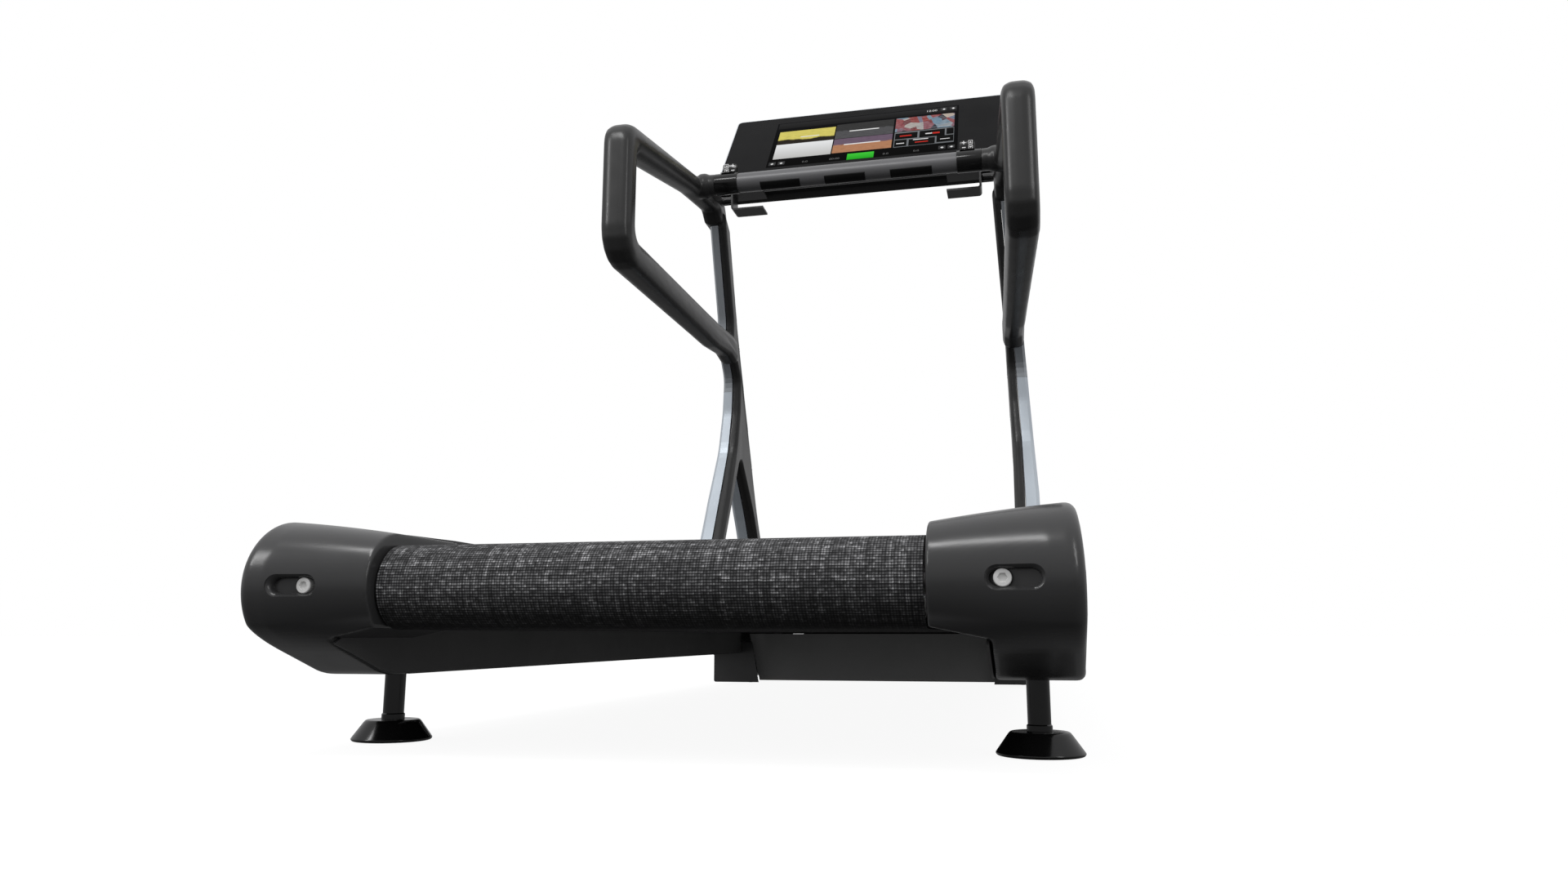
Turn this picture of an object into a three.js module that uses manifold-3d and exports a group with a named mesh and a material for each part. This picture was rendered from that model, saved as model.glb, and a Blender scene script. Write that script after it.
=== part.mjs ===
// A motor-driven treadmill with a flat deck, two open-frame towers with looped
// handles, a cross handlebar and a tilted touch console. Millimetres, +Z up,
// +Y is the way the runner faces, +X is the runner's right.
// Working heights are above the floor; working Y is measured from the axis of
// the rear levelling feet and the whole model is shifted at the end so that its
// origin is the bottom centre of its bounding box.
import * as THREE from "three";
import { mergeVertices } from "three/addons/utils/BufferGeometryUtils.js";
import Module from "manifold-3d";

const wasm = await Module();
wasm.setup();

// ---------------------------------------------------------------- driving dimensions
const GAP = 0.3; // clearance between neighbouring pieces
const REAR_Y = -230; // rearmost point of the caps
const FRONT_Y = 1985; // foremost point of the base
const HALF_WIDTH = 420; // outer face of the side covers and caps

const ROLLER = { radius: 41.5, z: 171, rearY: -156, frontY: 1490, half: 272, shaft: 12 };
const BELT = { thickness: 2.2, half: 275 };
const DECK = { rear: -95, front: 1425, half: 276, thickness: 20 };
const RAIL = { inner: 345, outer: 390, bottom: 105, top: 196, wall: 3, rear: -30, front: 1960 };
const CROSS = { ys: [240, 1150], width: 40, bottom: 140, top: 180 };
const COVER = {
  inner: 281, top: 238, bottom: 78, wall: 3, rear: -39.7,
  skirtY: 1418, skirtBottom: 8, skirtOuter: 396, skirtInnerLow: 281.5, skirtInnerHigh: 303,
};
const CAP = { inner: 278, wall: 4, front: -40 };
const SCREW = { x: 345.5, y: -218.4, headRadius: 8, headLength: 10, shankRadius: 5, hexRadius: 4.6 };
const SLOT = { inner: 330, outer: 382, halfHeight: 11.25 };
const FOOT = { x: 373, rodRadius: 12, baseRadius: 46, topRadius: 32, height: 24, rodTop: 200 };
const PAN = { rear: 1447, front: 1981.5, bottom: 12, top: 124, halfTop: 313, halfBottom: 287, wall: 2.5 };
const HOOD = { half: 278, wall: 3 };
const WHEEL = { x: 347, half: 7, radius: 50, y: 1592, axleRadius: 7 };
const LIFT = { y: 1850, z: 60, shaftRadius: 11, arm: 318, armWidth: 12, leverTop: 104 };
const LIFT_DRIVE = {
  axisZ: 88,
  gearbox: { half: 34, rear: 1462, front: 1530, top: 118 },
  screw: { radius: 8, end: 1700 },
  tube: { radius: 14, bore: 9, rear: 1580, front: 1800, boreEnd: 1775 },
  fork: { rear: 1785, half: 12, cheek: 6 },
};
const INLET = { left: 180, right: 212, bottom: 40, top: 66, wall: 5, depth: 28 };
const ROCKER = { left: 224, right: 240, bottom: 43, top: 63, middle: 53 };
const CONTROLLER = { left: -250, right: -80, rear: 1560, front: 1760, top: 84 };
const MOTOR = { y: 1680, radius: 60, left: -60, right: 270, pulleyRadius: 25 };
const PULLEY = { radius: 45, inner: 288, outer: 312 };

// The tower: where its inner and outer faces stand at each height.
const TOWER = { foot: COVER.top + GAP, width: 58, core: 0.43, bevel: 9, chamfer: 8, seamZ: 744 };
const INNER_FACE = [[235, 345.5], [590, 345.5], [787, 340], [1200, 319]];
const OUTER_FACE = [[444, 403], [760, 387], [1000, 370], [1200, 360]];
const LOOP = { x: 385, width: 62, rear: 657, gripFront: 713, bevel: 18, endWidth: 50 };

const BAR = { y: 1085, z: 1157, radius: 22, half: 305, bore: 16 };
const COLLAR = { inner: 251.4, outer: 305.5, radius: 24.5 };
const PAD = { xs: [-150, 0, 150], half: 46.5, thickness: 1.2, lowerAngle: 240, upperAngle: 60, spread: 32 };
const PADDLE = { inner: 258, outer: 291.5, top: 1209, thickness: 9, hubRadius: 27.6 };

const CONSOLE = { y: 1369.1, z: 1372.5, tilt: 37.3, half: 360, low: -221, high: 178, corner: 13 };
const GLASS = { inset: 2.3, thickness: 3 };
const HOUSING = { inset: 2.3, depth: 34, wall: 3 };
const SCREEN = { half: 250, low: -140, high: 150, thickness: 10 };
const BRACKET = { inner: 220, outer: 300, rear: 1192, front: 1240, top: 1184, bottom: 1138, plate: 4.5 };

// ---------------------------------------------------------------- finishes
const finish = (color, roughness, metalness) =>
  new THREE.MeshStandardMaterial({ color, roughness, metalness });
const FINISH = {
  moulding: finish(0x46464a, 0.5, 0),
  soft: finish(0x3a3b3c, 0.45, 0),
  belt: finish(0x3b3b3d, 0.95, 0),
  steel: finish(0x2b2d2f, 0.5, 0.6),
  bright: finish(0xc9d0d6, 0.28, 0.9),
  roller: finish(0x9a9da0, 0.35, 1),
  board: finish(0x5b4a3a, 0.8, 0),
  rubber: finish(0x171717, 0.8, 0),
  gloss: finish(0x151414, 0.2, 0),
  tube: finish(0x6c6d6f, 0.4, 0.3),
  glass: finish(0x0b0b0c, 0.08, 0),
  screw: finish(0xc6c6c4, 0.3, 0.9),
};

// ---------------------------------------------------------------- solids
function toSolid(geometry) {
  const plain = geometry.index ? geometry.toNonIndexed() : geometry;
  const bare = new THREE.BufferGeometry().setAttribute("position", plain.getAttribute("position"));
  const merged = mergeVertices(bare, 1e-3);
  const mesh = new wasm.Mesh({
    numProp: 3,
    vertProperties: merged.attributes.position.array,
    triVerts: new Uint32Array(merged.index.array),
  });
  return new wasm.Manifold(mesh);
}

function toGeometry(solid) {
  const mesh = solid.getMesh();
  return new THREE.BufferGeometry()
    .setAttribute("position", new THREE.BufferAttribute(mesh.vertProperties, 3))
    .setIndex(new THREE.BufferAttribute(mesh.triVerts, 1));
}

const join = (first, ...rest) => toGeometry(rest.reduce((sum, g) => sum.add(toSolid(g)), toSolid(first)));
const cut = (first, ...rest) => toGeometry(rest.reduce((sum, g) => sum.subtract(toSolid(g)), toSolid(first)));
const common = (first, ...rest) =>
  toGeometry(rest.reduce((sum, g) => sum.intersect(toSolid(g)), toSolid(first)));

// A block between two corners.
function block([x0, x1], [y0, y1], [z0, z1]) {
  return new THREE.BoxGeometry(x1 - x0, y1 - y0, z1 - z0).translate(
    (x0 + x1) / 2,
    (y0 + y1) / 2,
    (z0 + z1) / 2,
  );
}

// A rod along X, Y or Z from one coordinate to another.
function rod(axis, radius, from, to, [a, b], sides = 20) {
  const shape = new THREE.CylinderGeometry(radius, radius, to - from, sides);
  const middle = (from + to) / 2;
  if (axis === "x") return shape.rotateZ(Math.PI / 2).translate(middle, a, b);
  if (axis === "y") return shape.translate(a, middle, b);
  return shape.rotateX(Math.PI / 2).translate(a, b, middle);
}

// A closed outline with each corner [u, v, radius] rounded by an arc of its radius.
function outline(corners, segments = 5) {
  const points = [];
  corners.forEach(([u, v, radius = 0], i) => {
    const here = new THREE.Vector2(u, v);
    if (!radius) {
      points.push(here);
      return;
    }
    const before = corners.at(i - 1);
    const after = corners[(i + 1) % corners.length];
    const back = new THREE.Vector2(before[0], before[1]).sub(here).normalize();
    const ahead = new THREE.Vector2(after[0], after[1]).sub(here).normalize();
    const half = Math.acos(THREE.MathUtils.clamp(back.dot(ahead), -1, 1)) / 2;
    const centre = back.clone().add(ahead).normalize().multiplyScalar(radius / Math.sin(half)).add(here);
    const start = here.clone().addScaledVector(back, radius / Math.tan(half)).sub(centre);
    const turn = Math.sign(-back.cross(ahead)) * (Math.PI - 2 * half);
    for (let k = 0; k <= segments; k++) {
      points.push(start.clone().rotateAround(new THREE.Vector2(), (turn * k) / segments).add(centre));
    }
  });
  return new THREE.Shape(points);
}

const PLAIN = { bevelEnabled: false, steps: 1, curveSegments: 10 };
const straight = (shape, depth, options) => new THREE.ExtrudeGeometry(shape, { ...PLAIN, depth, ...options });

// Extrusions of an outline drawn in (y, z), (x, z) or (x, y).
const alongX = (shape, [x0, x1], options) => lieAlongX(straight(shape, x1 - x0, options)).translate(x0, 0, 0);
const alongY = (shape, [y0, y1]) => straight(shape, y1 - y0).rotateX(Math.PI / 2).translate(0, y1, 0);
const alongZ = (shape, [z0, z1], options) => straight(shape, z1 - z0, options).translate(0, 0, z0);

function lieAlongX(geometry) {
  const turn = new THREE.Matrix4().makeBasis(
    new THREE.Vector3(0, 1, 0),
    new THREE.Vector3(0, 0, 1),
    new THREE.Vector3(1, 0, 0),
  );
  return geometry.applyMatrix4(turn);
}

// A body turned about an axis along X from [radius, x] points.
function turnedAboutX(profile, [y, z], sides = 24) {
  const points = profile.map(([radius, x]) => new THREE.Vector2(radius, x));
  return new THREE.LatheGeometry(points, sides).rotateZ(-Math.PI / 2).translate(0, y, z);
}

// A body turned about a vertical axis from [radius, z] points.
function turnedAboutZ(profile, [x, y], sides = 24) {
  const points = profile.map(([radius, z]) => new THREE.Vector2(radius, z));
  return new THREE.LatheGeometry(points, sides).rotateX(Math.PI / 2).translate(x, y, 0);
}

// Moves every vertex of a geometry by a function of its place.
function reshape(geometry, move) {
  const position = geometry.getAttribute("position");
  const point = new THREE.Vector3();
  for (let i = 0; i < position.count; i++) {
    move(point.fromBufferAttribute(position, i));
    position.setXYZ(i, point.x, point.y, point.z);
  }
  return geometry;
}

// The value at t on a line of [t, value] stations.
function along(stations, t) {
  const last = stations.length - 1;
  const i = Math.max(0, Math.min(last - 1, stations.findIndex(([s]) => s > t) - 1));
  const k = t >= stations[last][0] ? last - 1 : i;
  const [t0, v0] = stations[k];
  const [t1, v1] = stations[k + 1];
  return v0 + ((v1 - v0) * THREE.MathUtils.clamp(t - t0, 0, t1 - t0)) / (t1 - t0);
}

function arc(centre, radius, from, to, segments) {
  const points = [];
  for (let k = 0; k <= segments; k++) {
    const angle = THREE.MathUtils.degToRad(from + ((to - from) * k) / segments);
    const [u, v] = [radius * Math.cos(angle), radius * Math.sin(angle)];
    points.push(new THREE.Vector2(centre[0] + u, centre[1] + v));
  }
  return points;
}

// A band around two wheels in the (y, z) plane: the outline of its outer or inner side.
function bandOutline([yA, zA, rA], [yB, zB, rB], grow, segments = 16) {
  const lean = THREE.MathUtils.radToDeg(Math.asin((rA - rB) / (yB - yA)));
  return [
    ...arc([yA, zA], rA + grow, 90 - lean, 270 + lean, segments),
    ...arc([yB, zB], rB + grow, -90 + lean, 90 - lean, segments),
  ];
}

function band(wheelA, wheelB, thickness, width) {
  const shape = new THREE.Shape(bandOutline(wheelA, wheelB, GAP + thickness));
  shape.holes.push(new THREE.Path(bandOutline(wheelA, wheelB, GAP)));
  return alongX(shape, width);
}

// ---------------------------------------------------------------- model tree
const treadmill = new THREE.Group();
const halves = {};
for (const [side, sign] of [["left", -1], ["right", 1]]) {
  halves[side] = new THREE.Group();
  halves[side].scale.x = sign;
  treadmill.add(halves[side]);
}

function add(name, geometry, material, parent = treadmill) {
  const mesh = new THREE.Mesh(geometry, material);
  mesh.name = name;
  parent.add(mesh);
  return mesh;
}

// The same piece on both sides, drawn on the right and mirrored to the left.
function addPair(name, geometry, material) {
  for (const [side, half] of Object.entries(halves)) add(`${name}_${side}`, geometry, material, half);
}

// ---------------------------------------------------------------- steel frame and deck
function sideRail() {
  const { inner, outer, bottom, top, wall, rear, front } = RAIL;
  const tube = block([inner, outer], [rear, front], [bottom, top]);
  const hollow = block([inner + wall, outer - wall], [rear - 1, front + 1], [bottom + wall, top - wall]);
  const footThread = rod("z", FOOT.rodRadius + GAP, bottom - 1, top + 1, [FOOT.x, 0]);
  const bearingSeat = rod("x", ROLLER.shaft + GAP, inner - 1, inner + wall + 1, [ROLLER.frontY, ROLLER.z]);
  return cut(tube, hollow, footThread, bearingSeat);
}

function crossMember(y) {
  const reach = RAIL.inner - GAP;
  const ends = [y - CROSS.width / 2, y + CROSS.width / 2];
  const bar = block([-reach, reach], ends, [CROSS.bottom, CROSS.top]);
  const inside = [ends[0] + RAIL.wall, ends[1] - RAIL.wall];
  const hollow = block([-reach - 1, reach + 1], inside, [CROSS.bottom + RAIL.wall, CROSS.top - RAIL.wall]);
  return cut(bar, hollow);
}

function addFrame() {
  addPair("side_rail", sideRail(), FINISH.steel);
  const deckTop = ROLLER.z + ROLLER.radius - GAP;
  const deckBottom = deckTop - DECK.thickness;
  CROSS.ys.forEach((y, i) => {
    const place = ["rear", "front"][i];
    add(`cross_member_${place}`, crossMember(y), FINISH.steel);
    const cushion = block([-260, 260], [y - 15, y + 15], [CROSS.top + GAP, deckBottom - GAP]);
    add(`deck_cushion_${place}`, cushion, FINISH.rubber);
  });
  const board = block([-DECK.half, DECK.half], [DECK.rear, DECK.front], [deckBottom, deckTop]);
  add("deck_board", board, FINISH.board);
}

// ---------------------------------------------------------------- belt and rollers
function addBeltDrive() {
  const rear = [ROLLER.rearY, ROLLER.z];
  const front = [ROLLER.frontY, ROLLER.z];
  const bandWheels = [[...rear, ROLLER.radius], [...front, ROLLER.radius]];
  add("running_belt", band(...bandWheels, BELT.thickness, [-BELT.half, BELT.half]), FINISH.belt);

  const wall = 6;
  const bore = ROLLER.radius - wall;
  const ends = [-ROLLER.half, ROLLER.half];
  const shell = cut(rod("x", ROLLER.radius, ...ends, rear, 24), rod("x", bore, -300, 300, rear));
  add("rear_roller", shell, FINISH.roller);
  const axleRadius = 10;
  const bearing = cut(
    rod("x", bore - 1.5, 250, 266, rear),
    rod("x", axleRadius + GAP, 240, 280, rear),
  );
  addPair("rear_bearing", bearing, FINISH.roller);

  const thread = (x) => rod("y", SCREW.shankRadius + GAP, rear[0] - 20, rear[0] + 20, [x, ROLLER.z], 16);
  const axleEnd = SCREW.x + 16;
  const axle = cut(rod("x", axleRadius, -axleEnd, axleEnd, rear), thread(SCREW.x), thread(-SCREW.x));
  add("rear_axle", axle, FINISH.steel);

  const { shaft } = ROLLER;
  const shaftEnd = RAIL.inner + 2;
  const drum = turnedAboutX(
    [[0, -shaftEnd], [shaft, -shaftEnd], [shaft, ends[0]], [ROLLER.radius, ends[0]],
      [ROLLER.radius, ends[1]], [shaft, ends[1]], [shaft, shaftEnd], [0, shaftEnd]],
    front,
  );
  add("front_roller", drum, FINISH.roller);
  const pulley = cut(
    rod("x", PULLEY.radius, PULLEY.inner, PULLEY.outer, front, 24),
    rod("x", shaft + GAP, 280, 320, front, 24),
  );
  add("front_pulley", pulley, FINISH.steel);
  addMotor();
}

function addMotor() {
  const at = [MOTOR.y, ROLLER.z];
  const shaftRadius = 8;
  const can = turnedAboutX(
    [[0, MOTOR.left], [MOTOR.radius - 8, MOTOR.left], [MOTOR.radius, MOTOR.left + 10],
      [MOTOR.radius, MOTOR.right - 10], [MOTOR.radius - 8, MOTOR.right], [0, MOTOR.right]],
    at,
    20,
  );
  const cradle = block([40, 180], [MOTOR.y - 42, MOTOR.y + 42], [104, ROLLER.z]);
  const shaftHole = rod("x", shaftRadius + GAP, MOTOR.right - 40, MOTOR.right + 1, at);
  add("drive_motor", cut(join(can, cradle), shaftHole), FINISH.steel);
  const rotor = join(
    rod("x", shaftRadius, MOTOR.right - 38, PULLEY.outer, at),
    rod("x", MOTOR.pulleyRadius, PULLEY.inner, PULLEY.outer, at),
  );
  add("motor_shaft", rotor, FINISH.roller);
  const wheels = [[ROLLER.frontY, ROLLER.z, PULLEY.radius], [MOTOR.y, ROLLER.z, MOTOR.pulleyRadius]];
  add("drive_belt", band(...wheels, 3, [PULLEY.inner + 3, PULLEY.outer - 3]), FINISH.rubber);
}

// ---------------------------------------------------------------- rear caps and tension screws
const CAP_PLAN = [[CAP.inner, -214], [331, -224], [370, REAR_Y], [HALF_WIDTH, REAR_Y, 30],
  [HALF_WIDTH, CAP.front], [CAP.inner, CAP.front]];
const CAP_SIDE = [[CAP.front, 243], [-158, 243], [-194, 233], [-219, 208], [REAR_Y, 175], [-221, 140],
  [-200, 119], [-150, 100], [-100, 83], [-70, 78], [CAP.front, 78]];
const CAP_REAR = [[CAP.inner, 227], [340, 237, 60], [390, 243, 60], [HALF_WIDTH, 242, 20],
  [HALF_WIDTH, 78, 10], [333, 78], [333, 112, 8], [CAP.inner, 126]];

const reversed = (points) => [...points].reverse();

function capBody() {
  return common(
    alongZ(outline(CAP_PLAN), [60, 260]),
    alongX(outline(reversed(CAP_SIDE)), [CAP.inner - 5, HALF_WIDTH + 5]),
    alongY(outline(reversed(CAP_REAR)), [REAR_Y - 5, CAP.front + 5]),
  );
}

// The cap shrunk by its wall about its own middle and pushed out of its open front.
function capHollow() {
  const width = HALF_WIDTH - CAP.inner;
  const height = 243 - COVER.bottom;
  const middle = [CAP.inner + width / 2, COVER.bottom + height / 2];
  const shrinkX = 1 - (2 * CAP.wall) / width;
  const shrinkZ = 1 - (2 * CAP.wall) / height;
  return capBody()
    .translate(-middle[0], CAP.wall + 1, -middle[1])
    .scale(shrinkX, 1, shrinkZ)
    .translate(middle[0], 0, middle[1]);
}

function rearCap() {
  const { halfHeight: r, inner, outer } = SLOT;
  const ends = [[inner, ROLLER.z - r, r - 0.01], [outer, ROLLER.z - r, r - 0.01],
    [outer, ROLLER.z + r, r - 0.01], [inner, ROLLER.z + r, r - 0.01]];
  const slot = alongY(outline(ends, 6), [REAR_Y - 10, REAR_Y + 40]);
  const axleWindow = rod("x", 30, CAP.inner - 5, CAP.inner + 20, [ROLLER.rearY, ROLLER.z], 24);
  return cut(capBody(), capHollow(), slot, axleWindow);
}

function tensionScrew() {
  const z = ROLLER.z;
  const headFront = SCREW.y + SCREW.headLength;
  const body = join(
    rod("y", SCREW.headRadius, SCREW.y, headFront, [SCREW.x, z], 24),
    rod("y", SCREW.shankRadius, headFront - 1, ROLLER.rearY + 45, [SCREW.x, z], 16),
  );
  return cut(body, rod("y", SCREW.hexRadius, SCREW.y - 1, SCREW.y + 5, [SCREW.x, z], 6));
}

// ---------------------------------------------------------------- side covers
// Section of a side cover in (x, z), pulled in by an inset all round its outer side.
function coverSection(bottom, inset, open) {
  const outer = HALF_WIDTH - inset;
  const inner = open ? COVER.inner - 2 : COVER.inner + inset;
  const top = COVER.top - inset;
  const skirt = COVER.skirtOuter - inset;
  const low = bottom < COVER.bottom
    ? [[skirt, bottom, open ? 0 : 5], [skirt, COVER.bottom - 6], [outer, COVER.bottom + 14, 8]]
    : [[outer, bottom, open ? 0 : 12 - inset]];
  return outline([[inner, bottom], ...low, [outer, top, 24 - inset], [345, top, 40], [inner, top - 8.5]]);
}

function coverShell() {
  const { wall, rear, skirtY } = COVER;
  const deepY = [skirtY, FRONT_Y];
  const channel = cut(
    alongY(coverSection(COVER.bottom, 0, false), [rear, skirtY + 1]),
    alongY(coverSection(COVER.bottom + wall, wall, true), [rear - 1, skirtY + wall]),
    block([0, 330], [rear - 1, skirtY + 5], [COVER.bottom - 1, COVER.top - 20]),
  );
  const innerWall = block([330, 333], [rear, skirtY + 1], [COVER.bottom, 136]);
  const rounded = (reach, inset) =>
    alongZ(
      outline([[0, skirtY - 5], [HALF_WIDTH - inset, skirtY - 5], [HALF_WIDTH - inset, reach, 60 - inset],
        [0, reach]]),
      [-5, 300],
    );
  const skirt = cut(
    common(
      alongY(coverSection(COVER.skirtBottom, 0, false), deepY),
      rounded(FRONT_Y, 0),
    ),
    common(
      alongY(coverSection(COVER.skirtBottom - 2, wall, true), [skirtY + wall, FRONT_Y - wall]),
      rounded(FRONT_Y - wall, wall),
    ),
    block([0, HALF_WIDTH - wall], [skirtY - 1, skirtY + wall + 1], [RAIL.bottom - 1, COVER.top - 12]),
    alongY(outline([[0, 0], [COVER.skirtInnerLow, 0], [COVER.skirtInnerHigh, PAN.top],
      [COVER.skirtInnerHigh, COVER.top - 12], [0, COVER.top - 12]]),
      [skirtY - 1, skirtY + wall + 1]),
    block([0, PAN.halfTop + 6], [PAN.front - 60, FRONT_Y + 1], [0, PAN.top + 1]),
  );
  const rodHole = rod("z", FOOT.rodRadius + 1, COVER.bottom - 5, COVER.bottom + 10, [FOOT.x, 0]);
  return cut(join(channel, innerWall, skirt), rodHole);
}

// ---------------------------------------------------------------- base, hood and lift
function basePan() {
  const { rear, front, bottom, top, halfTop, halfBottom, wall } = PAN;
  const section = (inset, lid) =>
    outline([[-halfBottom + inset, bottom + inset], [halfBottom - inset, bottom + inset],
      [halfTop - inset, top + lid], [-halfTop + inset, top + lid]]);
  const shell = cut(
    alongY(section(0, 0), [rear, front]),
    alongY(section(wall, 5), [rear + wall, front - wall]),
  );
  const liftShaft = rod("x", LIFT.shaftRadius + 1.5, -330, 330, [LIFT.y, LIFT.z], 24);
  const through = [front - 10, front + 5];
  const inlet = block(
    [INLET.left - GAP, INLET.right + GAP], through, [INLET.bottom - GAP, INLET.top + GAP],
  );
  const rocker = block(
    [ROCKER.left - 1, ROCKER.right + 1], through, [ROCKER.bottom - 2, ROCKER.top + 2],
  );
  return cut(shell, liftShaft, inlet, rocker);
}

function motorHood() {
  const profile = (inset, low) =>
    outline([[PAN.rear - 5 + inset, low], [PAN.front - inset, low], [PAN.front - inset, 225, 30],
      [1950, 282 - inset, 60], [1800, 300 - inset, 80], [1620, 298 - inset, 80],
      [PAN.rear - 5 + inset, 236 - inset, 12]]);
  const outer = alongX(profile(0, PAN.top + GAP), [-HOOD.half, HOOD.half]);
  const inner = alongX(profile(HOOD.wall, PAN.top - 5), [-HOOD.half + HOOD.wall, HOOD.half - HOOD.wall]);
  const beltMouth = block([-300, 300], [PAN.rear - 10, PAN.front - 40], [50, 219]);
  return cut(outer, inner, beltMouth);
}

function liftFrame() {
  const arm = alongX(
    outline([[WHEEL.y - 14, WHEEL.radius - 12, 12], [LIFT.y + 18, LIFT.z - 18, 16],
      [LIFT.y + 18, LIFT.z + 18, 16], [WHEEL.y - 14, WHEEL.radius + 12, 12]]),
    [LIFT.arm, LIFT.arm + LIFT.armWidth],
  );
  const axleEnd = WHEEL.x + WHEEL.half + 4;
  const stub = rod("x", WHEEL.axleRadius, LIFT.arm + 1, axleEnd, [WHEEL.y, WHEEL.radius], 20);
  const mirrored = (geometry) => toGeometry(toSolid(geometry).mirror([1, 0, 0]));
  const lever = block([-6, 6], [LIFT.y - 9, LIFT.y + 9], [LIFT.z, LIFT.leverTop]);
  const shaft = rod("x", LIFT.shaftRadius, -LIFT.arm - 1, LIFT.arm + 1, [LIFT.y, LIFT.z], 24);
  return join(shaft, lever, arm, stub, mirrored(arm), mirrored(stub));
}

function wheel() {
  const { half, radius, axleRadius, x, y } = WHEEL;
  const bore = axleRadius + GAP;
  const profile = [[bore, x - half], [radius - 4, x - half], [radius, x - half + 3], [radius, x + half - 3],
    [radius - 4, x + half], [bore, x + half], [bore, x - half]];
  return turnedAboutX(profile, [y, radius], 28);
}

function addLift() {
  add("lift_frame", liftFrame(), FINISH.steel);
  addPair("front_wheel", wheel(), FINISH.rubber);
  const { axisZ, gearbox, screw, tube, fork } = LIFT_DRIVE;
  const axis = [0, axisZ];
  const floor = PAN.bottom + PAN.wall + GAP;
  const housing = block([-gearbox.half, gearbox.half], [gearbox.rear, gearbox.front], [floor, gearbox.top]);
  const spindle = rod("y", screw.radius, gearbox.front - 1, screw.end, axis, 16);
  add("lift_motor", join(housing, spindle), FINISH.steel);
  const sleeve = cut(
    rod("y", tube.radius, tube.rear, tube.front, axis, 24),
    rod("y", tube.bore, tube.rear - 10, tube.boreEnd, axis, 20),
  );
  const height = [axisZ - fork.half, axisZ + fork.half];
  const cheek = (x0) => block([x0, x0 + fork.cheek], [fork.rear, LIFT.y + fork.half], height);
  const yoke = block([-tube.radius, tube.radius], [fork.rear, tube.front + 6], height);
  const fingers = [cheek(tube.radius - fork.cheek), cheek(-tube.radius)];
  add("lift_tube", join(sleeve, yoke, ...fingers), FINISH.roller);
}

function addBase() {
  add("base_pan", basePan(), FINISH.moulding);
  add("motor_hood", motorHood(), FINISH.moulding);
  const floor = PAN.bottom + PAN.wall + GAP;
  const unit = CONTROLLER;
  const controller = block([unit.left, unit.right], [unit.rear, unit.front], [floor, unit.top]);
  add("motor_controller", controller, FINISH.steel);
  const { front } = PAN;
  const { left, right, bottom, top, wall, depth } = INLET;
  const inletBody = cut(
    block([left, right], [front - depth, front + 2], [bottom, top]),
    block([left + wall, right - wall], [front - depth + 10, front + 3], [bottom + wall + 1, top - wall - 1]),
  );
  add("mains_inlet", inletBody, FINISH.gloss);
  const rockerSide = [[front - 9, ROCKER.bottom + 1], [front + 2.5, ROCKER.bottom],
    [front + 0.5, ROCKER.middle], [front + 2.5, ROCKER.top], [front - 9, ROCKER.top - 1]];
  add("power_rocker", alongX(outline(rockerSide), [ROCKER.left, ROCKER.right]), FINISH.gloss);
}

// ---------------------------------------------------------------- towers
// Outline of the upright and its two legs, seen from the side in (y, z).
const LEGS = [[1800, TOWER.foot], [1669, 421, 900], [1532, 669, 900], [1396, 901, 900], [1274, 1120],
  [1216, 1148], [1226, 1112], [1344, 905, 80], [1352, 862, 20], [1340, 828, 12], [1396, 815, 36],
  [1440, 775, 50], [1444, 690, 100], [1427, 587, 160],
  [1358, 444, 800], [1240, TOWER.foot], [1279, TOWER.foot], [1409, 462, 900], [1472, 572, 16],
  [1604, 440, 500], [1737, TOWER.foot]];

// Outline of the handle: upper arm, upright grip and lower arm, open towards the upright.
const HANDLE = [[1246, 1198, 52], [LOOP.rear, 1119, 46], [LOOP.rear, 835, 70], [1240, 811, 200],
  [1340, 816, 60], [1390, 806], [1415, 815], [1395, 868], [1345, 873], [1240, 873],
  [LOOP.gripFront, 893, 22], [LOOP.gripFront, 1069, 14], [1050, 1127, 300], [1190, 1137, 18],
  [1216, 1116], [1280, 1116]];

const sectionAt = (z) => {
  const inner = along(INNER_FACE, z);
  return { inner, width: along(OUTER_FACE, z) - inner };
};

// Spreads a slab of unit thickness (0 to 1 along X) between the tower's faces.
function toTower(geometry) {
  return reshape(geometry, (p) => {
    const { inner, width } = sectionAt(p.z);
    p.x = inner + p.x * width;
  });
}

function legs(bevel, segments, [from, to]) {
  const slab = alongX(outline(LEGS, 3), [bevel, TOWER.width - bevel], {
    bevelEnabled: true,
    bevelSize: bevel,
    bevelThickness: bevel,
    bevelOffset: -bevel,
    bevelSegments: segments,
  });
  const kept = block([from * TOWER.width, to * TOWER.width], [1100, 1900], [200, 1300]);
  return toTower(common(slab, kept).scale(1 / TOWER.width, 1, 1));
}

// The handle leans inwards from the grip to the upright and narrows on the way.
function handle(grow) {
  const { bevel, width } = LOOP;
  const options = { bevelEnabled: true, bevelSize: bevel, bevelThickness: bevel, bevelSegments: 2 };
  const solid = alongX(outline(HANDLE, 4), [bevel - width / 2 - grow, width / 2 - bevel + grow], {
    ...options,
    bevelOffset: grow - bevel,
  });
  return reshape(solid, (p) => {
    const far = Math.max(0, p.y - 735);
    const lean = p.z > 980 ? Math.min(far, 430) * 0.0745 : Math.min(far, 600) * 0.0455;
    const narrow = THREE.MathUtils.clamp(far / 465, 0, 1);
    const size = THREE.MathUtils.lerp(1, LOOP.endWidth / width, narrow);
    p.x = LOOP.x - lean + p.x * size;
  });
}

function neck() {
  const start = COLLAR.outer + GAP;
  const profile = [[0, start], [22, start], [23, start + 4], [24, start + 12], [29, start + 24],
    [29, 345], [0, 345]];
  return turnedAboutX(profile, [BAR.y, BAR.z], 24);
}

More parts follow.
